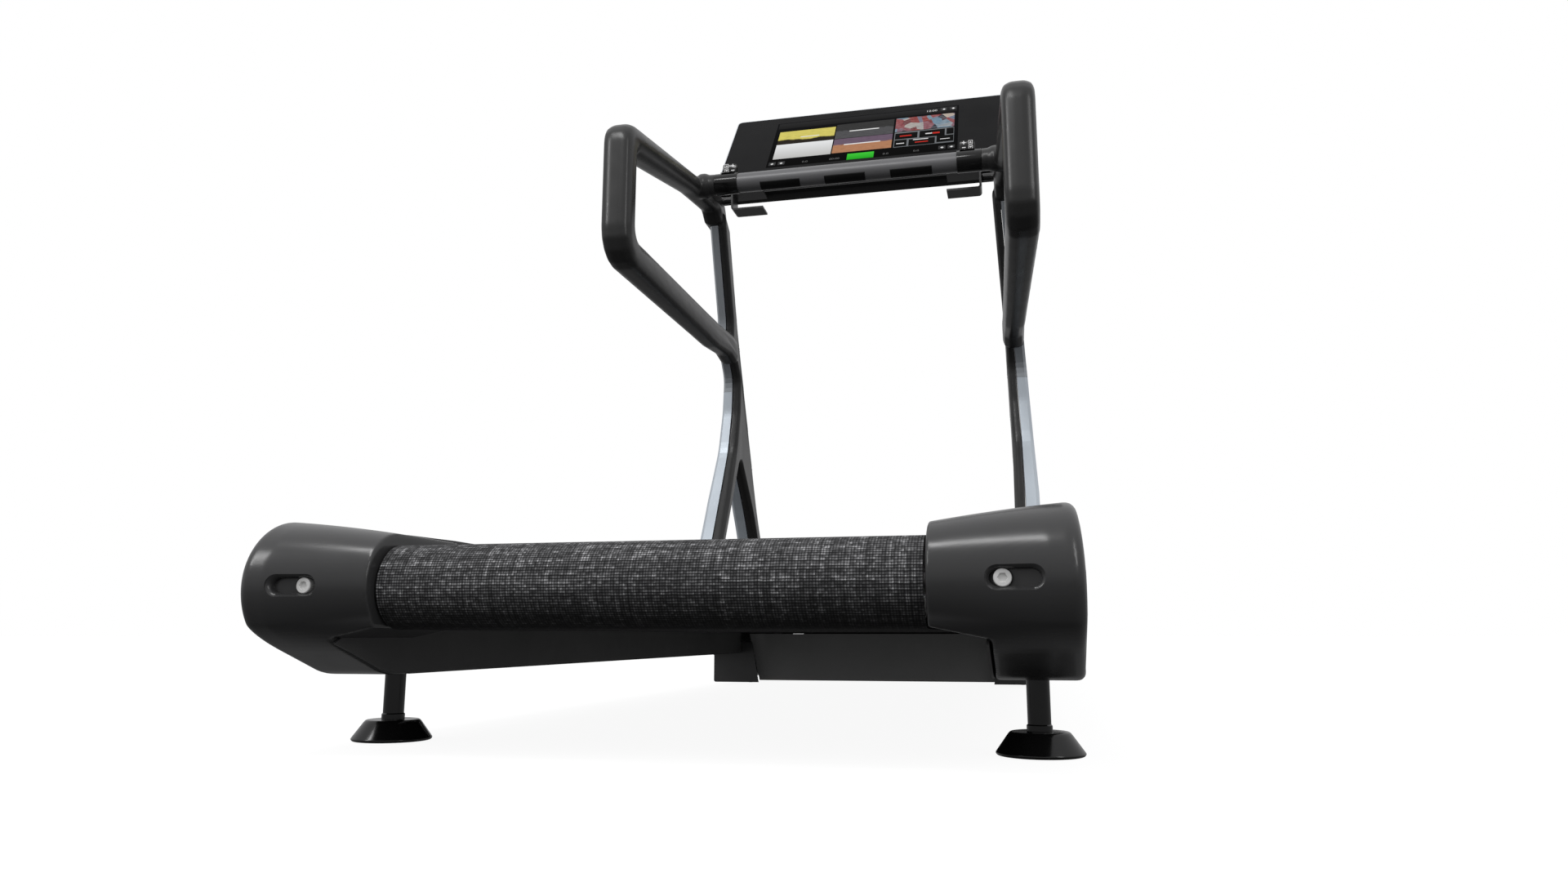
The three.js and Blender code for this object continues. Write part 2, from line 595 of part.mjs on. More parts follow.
function addTowers() {
  const core = legs(TOWER.bevel, 1, [0, TOWER.core]);
  const bracketStub = rod("x", 9, BRACKET.outer + GAP, 335, [1222, 1176], 16);
  addPair("tower", join(core, handle(0), neck(), bracketStub), FINISH.soft);
  const seam = (5 * GAP) / TOWER.width;
  const trim = cut(legs(TOWER.chamfer, 1, [TOWER.core + seam, 1]), handle(4 * GAP));
  const whole = [300, 460];
  const above = block(whole, [1100, 1900], [TOWER.seamZ + GAP, 1300]);
  const below = block(whole, [1100, 1900], [200, TOWER.seamZ]);
  addPair("tower_trim_upper", common(trim, above), FINISH.bright);
  addPair("tower_trim_lower", common(trim, below), FINISH.bright);
}

// ---------------------------------------------------------------- handlebar and paddles
function sensorPad(x, middle) {
  const { half, thickness, spread } = PAD;
  const inner = BAR.radius + GAP;
  const points = [
    ...arc([BAR.y, BAR.z], inner + thickness, middle - spread, middle + spread, 6),
    ...arc([BAR.y, BAR.z], inner, middle + spread, middle - spread, 6),
  ];
  return alongX(new THREE.Shape(points), [x - half, x + half]);
}

function controlPaddle() {
  const { inner, outer, top, thickness, hubRadius } = PADDLE;
  const clear = COLLAR.radius + 1.2;
  const hub = new THREE.Shape([
    ...arc([BAR.y, BAR.z], hubRadius, 40, 130, 8),
    ...arc([BAR.y, BAR.z], clear, 130, 40, 8),
  ]);
  const tabFoot = BAR.z + clear + 0.8;
  const tab = alongY(
    outline([[inner, tabFoot], [outer, tabFoot], [outer, top, 6], [inner, top, 6]]),
    [BAR.y + 4, BAR.y + 4 + thickness],
  );
  return join(alongX(hub, [inner, outer]), tab);
}

function addHandlebar() {
  const at = [BAR.y, BAR.z];
  const tube = cut(
    rod("x", BAR.radius, -BAR.half, BAR.half, at, 24),
    rod("x", BAR.bore, -BAR.half - 1, BAR.half + 1, at, 16),
  );
  add("handlebar_tube", tube, FINISH.tube);
  const { inner, outer, radius } = COLLAR;
  const bore = BAR.radius + GAP;
  const profile = [[bore, inner], [radius - 1.5, inner], [radius, inner + 2], [radius, outer - 2],
    [radius - 1.5, outer], [bore, outer], [bore, inner]];
  addPair("handlebar_collar", turnedAboutX(profile, at, 24), FINISH.gloss);
  addPair("control_paddle", controlPaddle(), FINISH.gloss);
  PAD.xs.forEach((x, i) => {
    const place = ["left", "middle", "right"][i];
    add(`sensor_pad_lower_${place}`, sensorPad(x, PAD.lowerAngle), FINISH.rubber);
    add(`sensor_pad_upper_${place}`, sensorPad(x, PAD.upperAngle), FINISH.rubber);
  });
}

// ---------------------------------------------------------------- console
function panelOutline(inset, corner) {
  const reach = CONSOLE.half - inset;
  const [low, high] = [CONSOLE.low + inset, CONSOLE.high - inset];
  const corners = [[-reach, low], [reach, low], [reach, high], [-reach, high]];
  return outline(corners.map((place) => [...place, corner]), 4);
}

function addConsole() {
  const panel = new THREE.Group();
  panel.position.set(0, CONSOLE.y, CONSOLE.z);
  panel.rotation.x = THREE.MathUtils.degToRad(90 - CONSOLE.tilt);
  treadmill.add(panel);
  const { corner } = CONSOLE;
  const rim = panelOutline(0, corner);
  rim.holes.push(panelOutline(GLASS.inset - GAP, corner - 2));
  add("console_edge", alongZ(rim, [-10, 0]), FINISH.bright, panel);
  const glass = alongZ(panelOutline(GLASS.inset, corner - 2), [-GLASS.thickness, 0]);
  add("console_glass", glass, FINISH.glass, panel);
  const front = -GLASS.thickness - GAP;
  const tray = alongZ(panelOutline(HOUSING.inset + 8, corner), [-HOUSING.depth + 8, front], {
    bevelEnabled: true,
    bevelSize: 8,
    bevelThickness: 8,
    bevelSegments: 2,
  });
  const cutFlat = block([-400, 400], [-260, 260], [front, 60]);
  const inside = alongZ(panelOutline(HOUSING.inset + HOUSING.wall, corner - 3), [-HOUSING.depth + 3, 1]);
  add("console_housing", cut(tray, cutFlat, inside), FINISH.moulding, panel);
  const screenBack = front - GAP - SCREEN.thickness;
  const screen = block([-SCREEN.half, SCREEN.half], [SCREEN.low, SCREEN.high], [screenBack, front - GAP]);
  add("display_panel", screen, FINISH.steel, panel);
}

// A C-shaped bracket whose top plate carries the console's lower edge.
function consoleBracket() {
  const { inner, outer, rear, front, top, bottom, plate } = BRACKET;
  const whole = outline([[inner, bottom], [outer, bottom, 8], [outer, top], [inner, top]]);
  const gap = outline([[inner - 5, bottom + plate], [outer - plate, bottom + plate, 4],
    [outer - plate, top - plate], [inner - 5, top - plate]]);
  return cut(alongY(whole, [rear, front]), alongY(gap, [rear - 1, front + 1]));
}

// ---------------------------------------------------------------- feet
function addFeet() {
  const { x, rodRadius, baseRadius, topRadius, height, rodTop } = FOOT;
  const bell = turnedAboutZ(
    [[0, 0], [baseRadius - 2, 0], [baseRadius, 2.5], [topRadius, height - 3], [topRadius - 2, height],
      [0, height]],
    [x, 0],
  );
  addPair("foot_bell", bell, FINISH.gloss);
  addPair("foot_rod", rod("z", rodRadius, height + GAP, rodTop, [x, 0]), FINISH.gloss);
}

addFrame();
addBeltDrive();
addPair("rear_cap", rearCap(), FINISH.moulding);
addPair("tension_screw", tensionScrew(), FINISH.screw);
addPair("side_cover", coverShell(), FINISH.moulding);
addBase();
addLift();
addTowers();
addHandlebar();
addConsole();
addPair("console_bracket", consoleBracket(), FINISH.soft);
addFeet();

// The origin is the bottom centre of the bounding box.
const extent = new THREE.Box3().setFromObject(treadmill);
treadmill.position.y = -(extent.min.y + extent.max.y) / 2;

export default treadmill;
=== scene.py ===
"""Looks for a powered treadmill with a wide touch console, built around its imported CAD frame."""

import math

import bmesh
import bpy
from mathutils import Matrix, Vector


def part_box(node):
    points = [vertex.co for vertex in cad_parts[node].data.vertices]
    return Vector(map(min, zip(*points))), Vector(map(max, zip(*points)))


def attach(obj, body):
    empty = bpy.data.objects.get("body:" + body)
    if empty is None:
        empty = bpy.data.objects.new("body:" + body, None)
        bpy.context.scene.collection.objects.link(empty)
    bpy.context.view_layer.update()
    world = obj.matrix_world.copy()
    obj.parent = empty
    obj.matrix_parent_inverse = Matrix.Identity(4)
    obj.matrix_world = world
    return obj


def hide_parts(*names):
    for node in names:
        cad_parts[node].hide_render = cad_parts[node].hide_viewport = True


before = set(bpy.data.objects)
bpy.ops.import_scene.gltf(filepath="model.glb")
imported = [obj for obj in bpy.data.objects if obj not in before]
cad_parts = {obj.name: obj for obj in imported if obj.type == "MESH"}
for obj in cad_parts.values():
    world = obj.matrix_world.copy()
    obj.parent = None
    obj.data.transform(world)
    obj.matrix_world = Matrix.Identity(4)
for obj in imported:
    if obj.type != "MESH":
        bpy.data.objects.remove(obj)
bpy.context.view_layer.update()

# ---------------------------------------------------------------- the working frame
# Sizes below are in millimetres, with y from the rear feet's axis and z from the floor.
MM = 0.001
FEET_Y = sum(corner.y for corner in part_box("foot_rod_left")) / 2
SIDES = ("left", "right")


def at(x, y, z):
    return Vector((x * MM, FEET_Y + y * MM, z * MM))


def side_sign(side):
    return 1 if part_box("foot_rod_" + side)[0].x > 0 else -1


ROLLER = {"rear_y": -156, "front_y": 1490, "z": 171}
BELT = {"radius": 43.7, "inner_radius": 41.6, "half": 275, "lip": 0.8}
CAP = {"inner": 278, "front": -40, "nose": (-158, 173), "radius": 54.5, "flare": 0.16, "bottom": 78}
CAP_CORNER = {"plan": 14, "top": 10, "bottom": 8}
CAP_HALF_WIDTH = 416
COVER_HALF_WIDTH = 419.8
INNER_WALL = {"x": 333, "top": 118, "bottom": 79.5, "front": 1418}
SLOT = {"inner": 330, "outer": 382, "radius": 11.25, "rim": 3.6, "floor": -213}
SCREW = {"x": 345.5, "y": -218.4, "head": 8, "length": 10, "hex": 4.3, "shank": 5, "tip": -111}
FOOT = {"x": 373, "base": 46, "neck": 32.4, "height": 24, "nut": 13.2, "rod": 12, "rod_top": 200}
BAR = {"y": 1085, "z": 1157, "radius": 22, "bore": 16, "half": 305}
COLLAR = {"inner": 251.4, "outer": 305.5, "radius": 24.5}
PADS = {"half": 46.5, "lower": 240, "upper": 60, "spread": 32}
PADDLE = {"inner": 258, "outer": 291.5, "top": 1209, "thickness": 9}
CONSOLE = {"y": 1369.1, "z": 1372.5, "tilt": 52.7, "half": 360, "low": -221, "high": 178}


# ---------------------------------------------------------------- camera, lights, floor
def add_camera():
    data = bpy.data.cameras.new("camera")
    data.sensor_width = 36
    data.lens = 24.444
    data.clip_start = 0.05
    data.clip_end = 200
    camera = bpy.data.objects.new("camera", data)
    camera.location = at(365.9, -1166, 122.2)
    camera.rotation_euler = (math.radians(100.31), 0, math.radians(12.75))
    bpy.context.scene.collection.objects.link(camera)
    bpy.context.scene.camera = camera


def add_area_light(name, place, aim, size, power):
    data = bpy.data.lights.new(name, "AREA")
    data.shape = "RECTANGLE"
    data.size, data.size_y = size
    data.energy = power
    light = bpy.data.objects.new(name, data)
    light.location = place
    light.rotation_euler = (Vector(aim) - Vector(place)).to_track_quat("-Z", "Y").to_euler()
    bpy.context.scene.collection.objects.link(light)


def add_world():
    """A soft studio dome: bright overhead, dimmer at the horizon and dark below."""
    world = bpy.data.worlds.new("studio")
    bpy.context.scene.world = world
    world.use_nodes = True
    tree = world.node_tree
    background = tree.nodes["Background"]
    where = tree.nodes.new("ShaderNodeTexCoord")
    axes = tree.nodes.new("ShaderNodeSeparateXYZ")
    height = tree.nodes.new("ShaderNodeMapRange")
    height.inputs["From Min"].default_value = -1
    ramp = tree.nodes.new("ShaderNodeValToRGB")
    stops = ((0.0, 0.05), (0.42, 0.20), (0.53, 0.52), (0.75, 0.7), (1.0, 0.95))
    set_stops(ramp, [(place, (level, level, level * 1.01)) for place, level in stops])
    tree.links.new(where.outputs["Generated"], axes.inputs[0])
    tree.links.new(axes.outputs["Z"], height.inputs["Value"])
    tree.links.new(height.outputs[0], ramp.inputs[0])
    tree.links.new(ramp.outputs[0], background.inputs["Color"])


def set_stops(ramp, stops):
    elements = ramp.color_ramp.elements
    while len(elements) < len(stops):
        elements.new(0.5)
    for element, (place, colour) in zip(elements, stops):
        element.position = place
        element.color = (*colour, 1)


def hide_from_bounces(obj):
    """Only the camera sees it, so it neither lights nor reflects in the machine."""
    obj.visible_diffuse = False
    obj.visible_glossy = False
    obj.visible_transmission = False


def add_floor():
    floor_material = bpy.data.materials.new("pale_floor")
    floor_material.use_nodes = True
    floor_shader = floor_material.node_tree.nodes["Principled BSDF"]
    floor_shader.inputs["Base Color"].default_value = (0.12, 0.12, 0.12, 1)
    floor_shader.inputs["Roughness"].default_value = 1
    floor_shader.inputs["Specular IOR Level"].default_value = 0
    floor_shader.inputs["Emission Color"].default_value = (1, 1, 1, 1)
    floor_shader.inputs["Emission Strength"].default_value = 0.93
    reach, below_feet = 60, 0.0005
    floor_mesh = bpy.data.meshes.new("floor")
    corners = ((-reach, -reach), (reach, -reach), (reach, reach), (-reach, reach))
    floor_mesh.from_pydata([(*corner, -below_feet) for corner in corners], [], [(0, 1, 2, 3)])
    floor = bpy.data.objects.new("floor", floor_mesh)
    floor_mesh.materials.append(floor_material)
    hide_from_bounces(floor)

    white = bpy.data.materials.new("white_backdrop")
    white.use_nodes = True
    white.node_tree.nodes.clear()
    glow = white.node_tree.nodes.new("ShaderNodeEmission")
    surface = white.node_tree.nodes.new("ShaderNodeOutputMaterial")
    white.node_tree.links.new(glow.outputs[0], surface.inputs[0])
    dome_mesh = bpy.data.meshes.new("backdrop")
    dome_shape = bmesh.new()
    bmesh.ops.create_icosphere(dome_shape, subdivisions=4, radius=80)
    dome_shape.to_mesh(dome_mesh)
    dome_shape.free()
    dome_mesh.materials.append(white)
    dome = bpy.data.objects.new("backdrop", dome_mesh)
    hide_from_bounces(dome)
    dome.visible_shadow = False
    for obj in (floor, dome):
        bpy.context.scene.collection.objects.link(obj)


# ---------------------------------------------------------------- materials
class Look:
    """A node material under construction: a principled shader and whatever feeds it."""

    def __init__(self, name, roughness=0.5, metallic=0.0, level=0.5):
        self.material = bpy.data.materials.new(name)
        self.material.use_nodes = True
        self.tree = self.material.node_tree
        self.shader = self.tree.nodes["Principled BSDF"]
        self.set(Roughness=roughness, Metallic=metallic)
        self.shader.inputs["Specular IOR Level"].default_value = level
        self.where = self.tree.nodes.new("ShaderNodeTexCoord")

    def plug(self, socket, value):
        if isinstance(value, bpy.types.NodeSocket):
            self.tree.links.new(value, socket)
        elif socket.type == "RGBA" and len(value) == 3:
            socket.default_value = (*value, 1)
        else:
            socket.default_value = value

    def set(self, **values):
        for name, value in values.items():
            self.plug(self.shader.inputs[name.replace("_", " ")], value)

    def add(self, kind, *inputs, settings=None, out=0):
        node = self.tree.nodes.new("ShaderNode" + kind)
        for key, value in (settings or {}).items():
            setattr(node, key, value)
        for name, value in inputs:
            self.plug(node.inputs[name], value)
        return node.outputs[out]

    def point(self, source, stretch=(1, 1, 1)):
        found = self.where.outputs[source]
        return self.add("Mapping", ("Vector", found), ("Scale", stretch))

    def noise(self, scale, detail=2.0, roughness=0.5, stretch=(1, 1, 1)):
        where = self.point("Object", stretch)
        return self.add("TexNoise", ("Vector", where), ("Scale", scale), ("Detail", detail),
                        ("Roughness", roughness))

    def math(self, operation, a, b=0.0, c=0.0):
        node = self.tree.nodes.new("ShaderNodeMath")
        node.operation = operation
        for socket, value in zip(node.inputs, (a, b, c)):
            self.plug(socket, value)
        return node.outputs[0]

    def span(self, value, old, new):
        return self.add("MapRange", ("Value", value), ("From Min", old[0]), ("From Max", old[1]),
                        ("To Min", new[0]), ("To Max", new[1]))

    def ramp(self, value, stops):
        node = self.tree.nodes.new("ShaderNodeValToRGB")
        set_stops(node, stops)
        self.plug(node.inputs[0], value)
        return node.outputs[0]

    def mix(self, factor, a, b, blend="MIX"):
        node = self.tree.nodes.new("ShaderNodeMix")
        node.data_type = "RGBA"
        node.blend_type = blend
        self.plug(node.inputs["Factor"], factor)
        colours = [s for s in node.inputs if s.type == "RGBA"]
        self.plug(colours[0], a)
        self.plug(colours[1], b)
        return [s for s in node.outputs if s.type == "RGBA"][0]

    def bump(self, height, strength, distance):
        normal = self.add("Bump", ("Height", height), ("Strength", strength), ("Distance", distance))
        self.set(Normal=normal)


def grey(level, tint=(1, 1, 1)):
    return tuple(level * t for t in tint)


def moulding_look(name, dark, light, roughness, level=0.5, grain=1400, depth=0.00006, wear=0.3):
    """Injection-moulded plastic: cloudy tone, fine spark-eroded grain and uneven gloss."""
    look = Look(name, level=level)
    cloud = look.noise(7, 4, 0.6)
    tone = look.span(cloud, (0.3, 0.7), (0, 1))
    base = look.mix(tone, dark, light)
    fine = look.noise(grain, 2, 0.6)
    speck = look.span(look.noise(310, 3, 0.7), (0.62, 0.74), (0.0, wear))
    look.set(Base_Color=look.mix(speck, base, grey(max(light) * 1.5)))
    gloss = look.noise(23, 3, 0.5)
    look.set(Roughness=look.span(gloss, (0.3, 0.7), (roughness - 0.03, roughness + 0.03)))
    look.bump(fine, 0.25, depth)
    return look.material


def metal_look(name, colour, roughness, metallic, streak):
    """Drawn or turned metal with fine streaks along one direction."""
    look = Look(name, metallic=metallic)
    streaks = look.noise(40, 3, 0.6, stretch=streak)
    cloud = look.noise(9, 3, 0.5)
    tone = look.math("MULTIPLY_ADD", streaks, 0.5, look.math("MULTIPLY", cloud, 0.5))
    darker = tuple(c * 0.88 for c in colour)
    look.set(Base_Color=look.mix(look.span(tone, (0.35, 0.65), (0, 1)), darker, colour))
    look.set(Roughness=look.span(streaks, (0.3, 0.7), (roughness - 0.06, roughness + 0.06)))
    look.bump(streaks, 0.08, 0.00004)
    return look.material


def edge_look(name):
    """The screen's surrounding band: bright brushed sides and top over a black lower rail."""
    look = Look(name, metallic=0.45)
    streaks = look.noise(40, 3, 0.6, stretch=(1, 40, 1))
    bright = look.mix(look.span(streaks, (0.35, 0.65), (0, 1)), (0.62, 0.65, 0.68), (0.72, 0.75, 0.79))
    height = look.add("SeparateXYZ", (0, look.where.outputs["Object"]), out=2)
    rail_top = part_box("console_edge")[0].z + 0.012
    above_rail = look.span(height, (rail_top, rail_top + 0.02), (0, 1))
    look.set(Base_Color=look.mix(above_rail, (0.008, 0.008, 0.008), bright))
    look.set(Roughness=look.span(streaks, (0.3, 0.7), (0.3, 0.42)))
    look.bump(streaks, 0.08, 0.00004)
    return look.material


def gloss_look(name, colour, roughness, level):
    """Polished plastic or lacquer with faint smears and a slight orange-peel ripple."""
    look = Look(name, level=level)
    smear = look.noise(14, 4, 0.6, stretch=(1, 2.5, 1))
    look.set(Base_Color=look.mix(smear, colour, tuple(c * 1.5 for c in colour)))
    look.set(Roughness=look.span(smear, (0.3, 0.7), (roughness * 0.8, roughness * 1.25)))
    look.bump(look.noise(160, 2, 0.5), 0.05, 0.00008)
    return look.material


def wood_look(name):
    look = Look(name, roughness=0.5)
    grain = look.noise(22, 5, 0.65, stretch=(12, 0.6, 12))
    look.set(Base_Color=look.ramp(grain, [(0.3, (0.09, 0.055, 0.03)), (0.55, (0.23, 0.16, 0.1)),
                                          (0.75, (0.33, 0.25, 0.17))]))
    look.bump(grain, 0.2, 0.0002)
    return look.material


def belt_look(name):
    """Plain weave of heather yarns, with painted shade in the gaps between yarns and on the lower run. UVs
    are in metres, across the belt and along it.
    """
    look = Look(name, roughness=0.85, level=0.2)
    pitch = 0.0029
    per_yarn = (1 / pitch, 1 / pitch, 1)
    cells = look.add("Mapping", ("Vector", look.where.outputs["UV"]), ("Scale", per_yarn))
    wobble = look.add("TexNoise", ("Vector", cells), ("Scale", 0.3), ("Detail", 2.0), out=1)
    shift = look.add("VectorMath", (0, wobble), (1, (0.5, 0.5, 0.5)), settings={"operation": "SUBTRACT"})
    push = look.add("VectorMath", (0, shift), ("Scale", 0.35), settings={"operation": "SCALE"})
    bent = look.add("VectorMath", (0, cells), (1, push), settings={"operation": "ADD"})
    across = look.add("SeparateXYZ", (0, bent), out=0)
    along = look.add("SeparateXYZ", (0, bent), out=1)

    def rib(value):
        return look.math("ABSOLUTE", look.math("SINE", look.math("MULTIPLY", value, math.pi)))

    def chance(column_share, row_share, seed):
        """A random number for each dash covering a few columns and rows of the weave."""
        column = look.math("FLOOR", look.math("MULTIPLY_ADD", across, column_share, seed))
        row = look.math("FLOOR", look.math("MULTIPLY_ADD", along, row_share, seed))
        cell = look.add("CombineXYZ", (0, column), (1, row))
        return look.add("TexWhiteNoise", ("Vector", cell))

    warp, weft = rib(across), rib(along)
    tone = look.math("MULTIPLY", chance(1.0, 1.0, 0.2), 0.34)
    tone = look.math("MULTIPLY_ADD", chance(0.5, 1.0, 7.3), 0.20, tone)
    tone = look.math("MULTIPLY_ADD", chance(1.0, 0.02, 3.6), 0.23, tone)
    tone = look.math("MULTIPLY_ADD", chance(0.02, 1.0, 11.4), 0.23, tone)
    yarn = look.ramp(tone, [(0.25, (0.045, 0.045, 0.046)), (0.50, (0.115, 0.115, 0.118)),
                            (0.65, (0.20, 0.20, 0.205)), (0.82, (0.46, 0.46, 0.47))])
    gaps = look.math("MULTIPLY", look.math("POWER", warp, 0.6), weft)
    # The gaps between the yarns are darkened to near black: painted shade in the weave's hollows.
    depth = look.span(gaps, (0.15, 0.7), (0.05, 1.0))
    woven = look.mix(depth, (0.005, 0.005, 0.006), yarn)
    # Below the top run the belt darkens towards its underside: painted shade, set by height.
    height = look.add("SeparateXYZ", (0, look.where.outputs["Object"]), out=2)
    lit = look.span(height, (0.13, 0.175), (0.12, 1.0))
    look.set(Base_Color=look.mix(lit, (0.004, 0.004, 0.004), woven))
    look.bump(gaps, 0.7, 0.0006)
    return look.material


def glass_look(name):
    """Back-printed black glass: nearly no base colour and a few faint smudges."""
    look = Look(name, roughness=0.3, level=0.03)
    smudge = look.noise(6, 5, 0.65, stretch=(1, 1.6, 1))
    look.set(Base_Color=look.mix(smudge, (0.0035, 0.0035, 0.004), (0.006, 0.006, 0.0065)))
    look.set(Roughness=look.span(smudge, (0.35, 0.65), (0.25, 0.4)))
    return look.material


def lit_look(name, paint):
    """A lit screen picture: paint(look) gives the colour that glows."""
    look = Look(name, roughness=0.5, level=0.0)
    colour = paint(look)
    look.set(Base_Color=(0.0, 0.0, 0.0))
    look.set(Emission_Color=colour, Emission_Strength=0.92)
    return look.material


def picture_height(look):
    """0 at the foot of a lit picture and 1 at its head."""
    return look.add("SeparateXYZ", (0, look.where.outputs["UV"]), out=1)


def paint_print(look):
    return look.mix(look.noise(60), grey(0.7), grey(0.95))


MATERIALS = {}


def make_materials():
    cool = (1, 1, 1.02)
    made = {
        "moulding": moulding_look("moulding", grey(0.031, cool), grey(0.035, cool), 0.24, 0.45,
                                  depth=0.00002, wear=0.1),
        "soft": moulding_look("soft_touch", grey(0.020), grey(0.023), 0.3, 0.45, grain=1900,
                              depth=0.000004, wear=0.0),
        # The pan, its lip and the skirt liners are the same dark plastic as the covers, made lighter to
        # stand in for the light that reaches them: painted light.
        "pan": moulding_look("base_moulding", grey(0.20), grey(0.22), 0.5, 0.35),
        "liner": moulding_look("liner_moulding", grey(0.075), grey(0.085), 0.5, 0.3),
        "lip": moulding_look("lip_moulding", grey(0.22), grey(0.25), 0.5, 0.3),
        "trim": metal_look("bright_trim", (0.60, 0.66, 0.72), 0.36, 0.45, (60, 60, 1)),
        "trim_upper": metal_look("upper_trim", (0.42, 0.45, 0.48), 0.36, 0.45, (60, 60, 1)),
        "steel": metal_look("powder_coat", (0.030, 0.030, 0.032), 0.5, 0.0, (1, 1, 1)),
        "turned": metal_look("turned_steel", (0.58, 0.58, 0.58), 0.3, 1.0, (60, 1, 1)),
        "zinc": metal_look("zinc_plate", (0.74, 0.74, 0.73), 0.5, 0.0, (1, 20, 1)),
        "tube": metal_look("grey_tube", (0.15, 0.15, 0.155), 0.38, 0.2, (1, 50, 50)),
        "gloss": gloss_look("gloss_black", grey(0.004), 0.16, 0.4),
        "sensor": gloss_look("sensor_black", grey(0.004), 0.45, 0.2),
        "rubber": moulding_look("rubber", grey(0.010), grey(0.014), 0.7, 0.3, grain=700, depth=0.0001),
        "edge": edge_look("edge_band"),
        "wood": wood_look("phenolic_board"),
        "belt": belt_look("woven_belt"),
        "glass": glass_look("screen_glass"),
        # The white print glows like the screen; on the paddles' marks that glow is painted light.
        "icon": lit_look("glowing_white_print", paint_print),
    }
    MATERIALS.update(made)


CAD_LOOKS = {
    "base_pan": "pan", "motor_hood": "moulding", "side_cover_left": "moulding",
    "side_cover_right": "moulding", "console_housing": "soft", "console_bracket_left": "soft",
    "console_bracket_right": "soft",
    "tower_trim_upper_left": "trim_upper", "tower_trim_upper_right": "trim_upper",
    "tower_trim_lower_left": "trim", "tower_trim_lower_right": "trim", "console_edge": "edge",
    "side_rail_left": "steel", "side_rail_right": "steel", "cross_member_rear": "steel",
    "cross_member_front": "steel", "rear_axle": "turned", "drive_motor": "steel",
    "lift_motor": "steel", "motor_controller": "steel", "display_panel": "steel",
    "deck_board": "wood", "deck_cushion_rear": "rubber", "deck_cushion_front": "rubber",
    "drive_belt": "rubber", "mains_inlet": "gloss", "front_roller": "turned",
    "front_pulley": "steel", "rear_roller": "turned", "rear_bearing_left": "turned",
    "rear_bearing_right": "turned", "motor_shaft": "turned", "lift_frame": "steel",
    "lift_tube": "steel", "front_wheel_left": "rubber", "front_wheel_right": "rubber",
    "power_rocker": "gloss",
}
SOFTENED = {
    "side_cover_left": 1.2, "side_cover_right": 1.2, "base_pan": 2.0, "motor_hood": 1.2,
    "console_housing": 0.8, "console_bracket_left": 0.8, "console_bracket_right": 0.8,
    "tower_trim_upper_left": 0.8, "tower_trim_upper_right": 0.8, "tower_trim_lower_left": 0.8,
    "tower_trim_lower_right": 0.8, "side_rail_left": 0.8, "side_rail_right": 0.8,
}


def dress_cad_nodes():
    """Procedural finishes and softened edges on the CAD nodes that stay in view."""
    for node, look in CAD_LOOKS.items():
        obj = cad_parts[node]
        obj.data.materials.clear()
        obj.data.materials.append(MATERIALS[look])
        if node in SOFTENED:
            soften(obj, SOFTENED[node] * MM)


def soften(obj, width):
    bevel = obj.modifiers.new("soft_edges", "BEVEL")
    bevel.width = width
    bevel.segments = 2
    bevel.limit_method = "ANGLE"
    bevel.angle_limit = math.radians(30)
    bevel.harden_normals = False


# ---------------------------------------------------------------- mesh building
def finish_piece(name, mesh, look, body, replaced=(), sharp=35):
    """Names the mesh, gives it its finish and lets it ride on its body."""
    mesh.materials.clear()
    mesh.materials.append(MATERIALS[look])
    mesh.shade_smooth()
    if sharp:
        mesh.set_sharp_from_angle(angle=math.radians(sharp))
    obj = bpy.data.objects.new(name, mesh)
    bpy.context.scene.collection.objects.link(obj)
    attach(obj, body)
    if replaced:
        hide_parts(*replaced)


def face_outward(mesh):
    shape = bmesh.new()
    shape.from_mesh(mesh)
    bmesh.ops.recalc_face_normals(shape, faces=shape.faces)
    shape.to_mesh(mesh)
    shape.free()


def mesh_from(name, points, faces):
    mesh = bpy.data.meshes.new(name)
    mesh.from_pydata(points, [], faces)
    mesh.validate()
    face_outward(mesh)
    return mesh


def joined(name, meshes):
    shape = bmesh.new()
    for mesh in meshes:
        shape.from_mesh(mesh)
    whole = bpy.data.meshes.new(name)
    shape.to_mesh(whole)
    shape.free()
    return whole


def mirrored(mesh):
    """The mesh on the other side of the machine's middle plane."""
    copy = mesh.copy()
    copy.transform(Matrix.Diagonal((-1, 1, 1, 1)))
    copy.flip_normals()
    return copy


def fillet(corners, segments=8):
    """Closed outline of (a, b) or (a, b, radius) corners, with arcs at the rounded ones."""
    points = []
    count = len(corners)
    for i, corner in enumerate(corners):
        here = Vector(corner[:2])
        radius = corner[2] if len(corner) > 2 else 0
        before = Vector(corners[i - 1][:2]) - here
        after = Vector(corners[(i + 1) % count][:2]) - here
        if not radius:
            points.append(here)
            continue
        half = before.angle(after) / 2
        reach = min(radius / math.tan(half), before.length * 0.49, after.length * 0.49)
        radius = reach * math.tan(half)
        middle = here + (before.normalized() + after.normalized()).normalized() * radius / math.sin(half)
        start = here + before.normalized() * reach - middle
        end = here + after.normalized() * reach - middle
        sweep = start.angle(end)
        turn = 1 if start.x * end.y - start.y * end.x > 0 else -1
        for step in range(segments + 1):
            angle = turn * sweep * step / segments
            c, s = math.cos(angle), math.sin(angle)
            points.append(middle + Vector((c * start.x - s * start.y, s * start.x + c * start.y)))
    return points


def prism(outline, lift, near, far):
    """Extrudes an outline between two stations. lift(a, b, t) places a point."""
    count = len(outline)
    points = [lift(a, b, near) for a, b in outline] + [lift(a, b, far) for a, b in outline]
    faces = [(i, (i + 1) % count, count + (i + 1) % count, count + i) for i in range(count)]
    faces += [tuple(range(count - 1, -1, -1)), tuple(range(count, 2 * count))]
    return mesh_from("prism", points, faces)


def along_x(a, b, t):
    return at(t, a, b)


def along_y(a, b, t):
    return at(a, t, b)


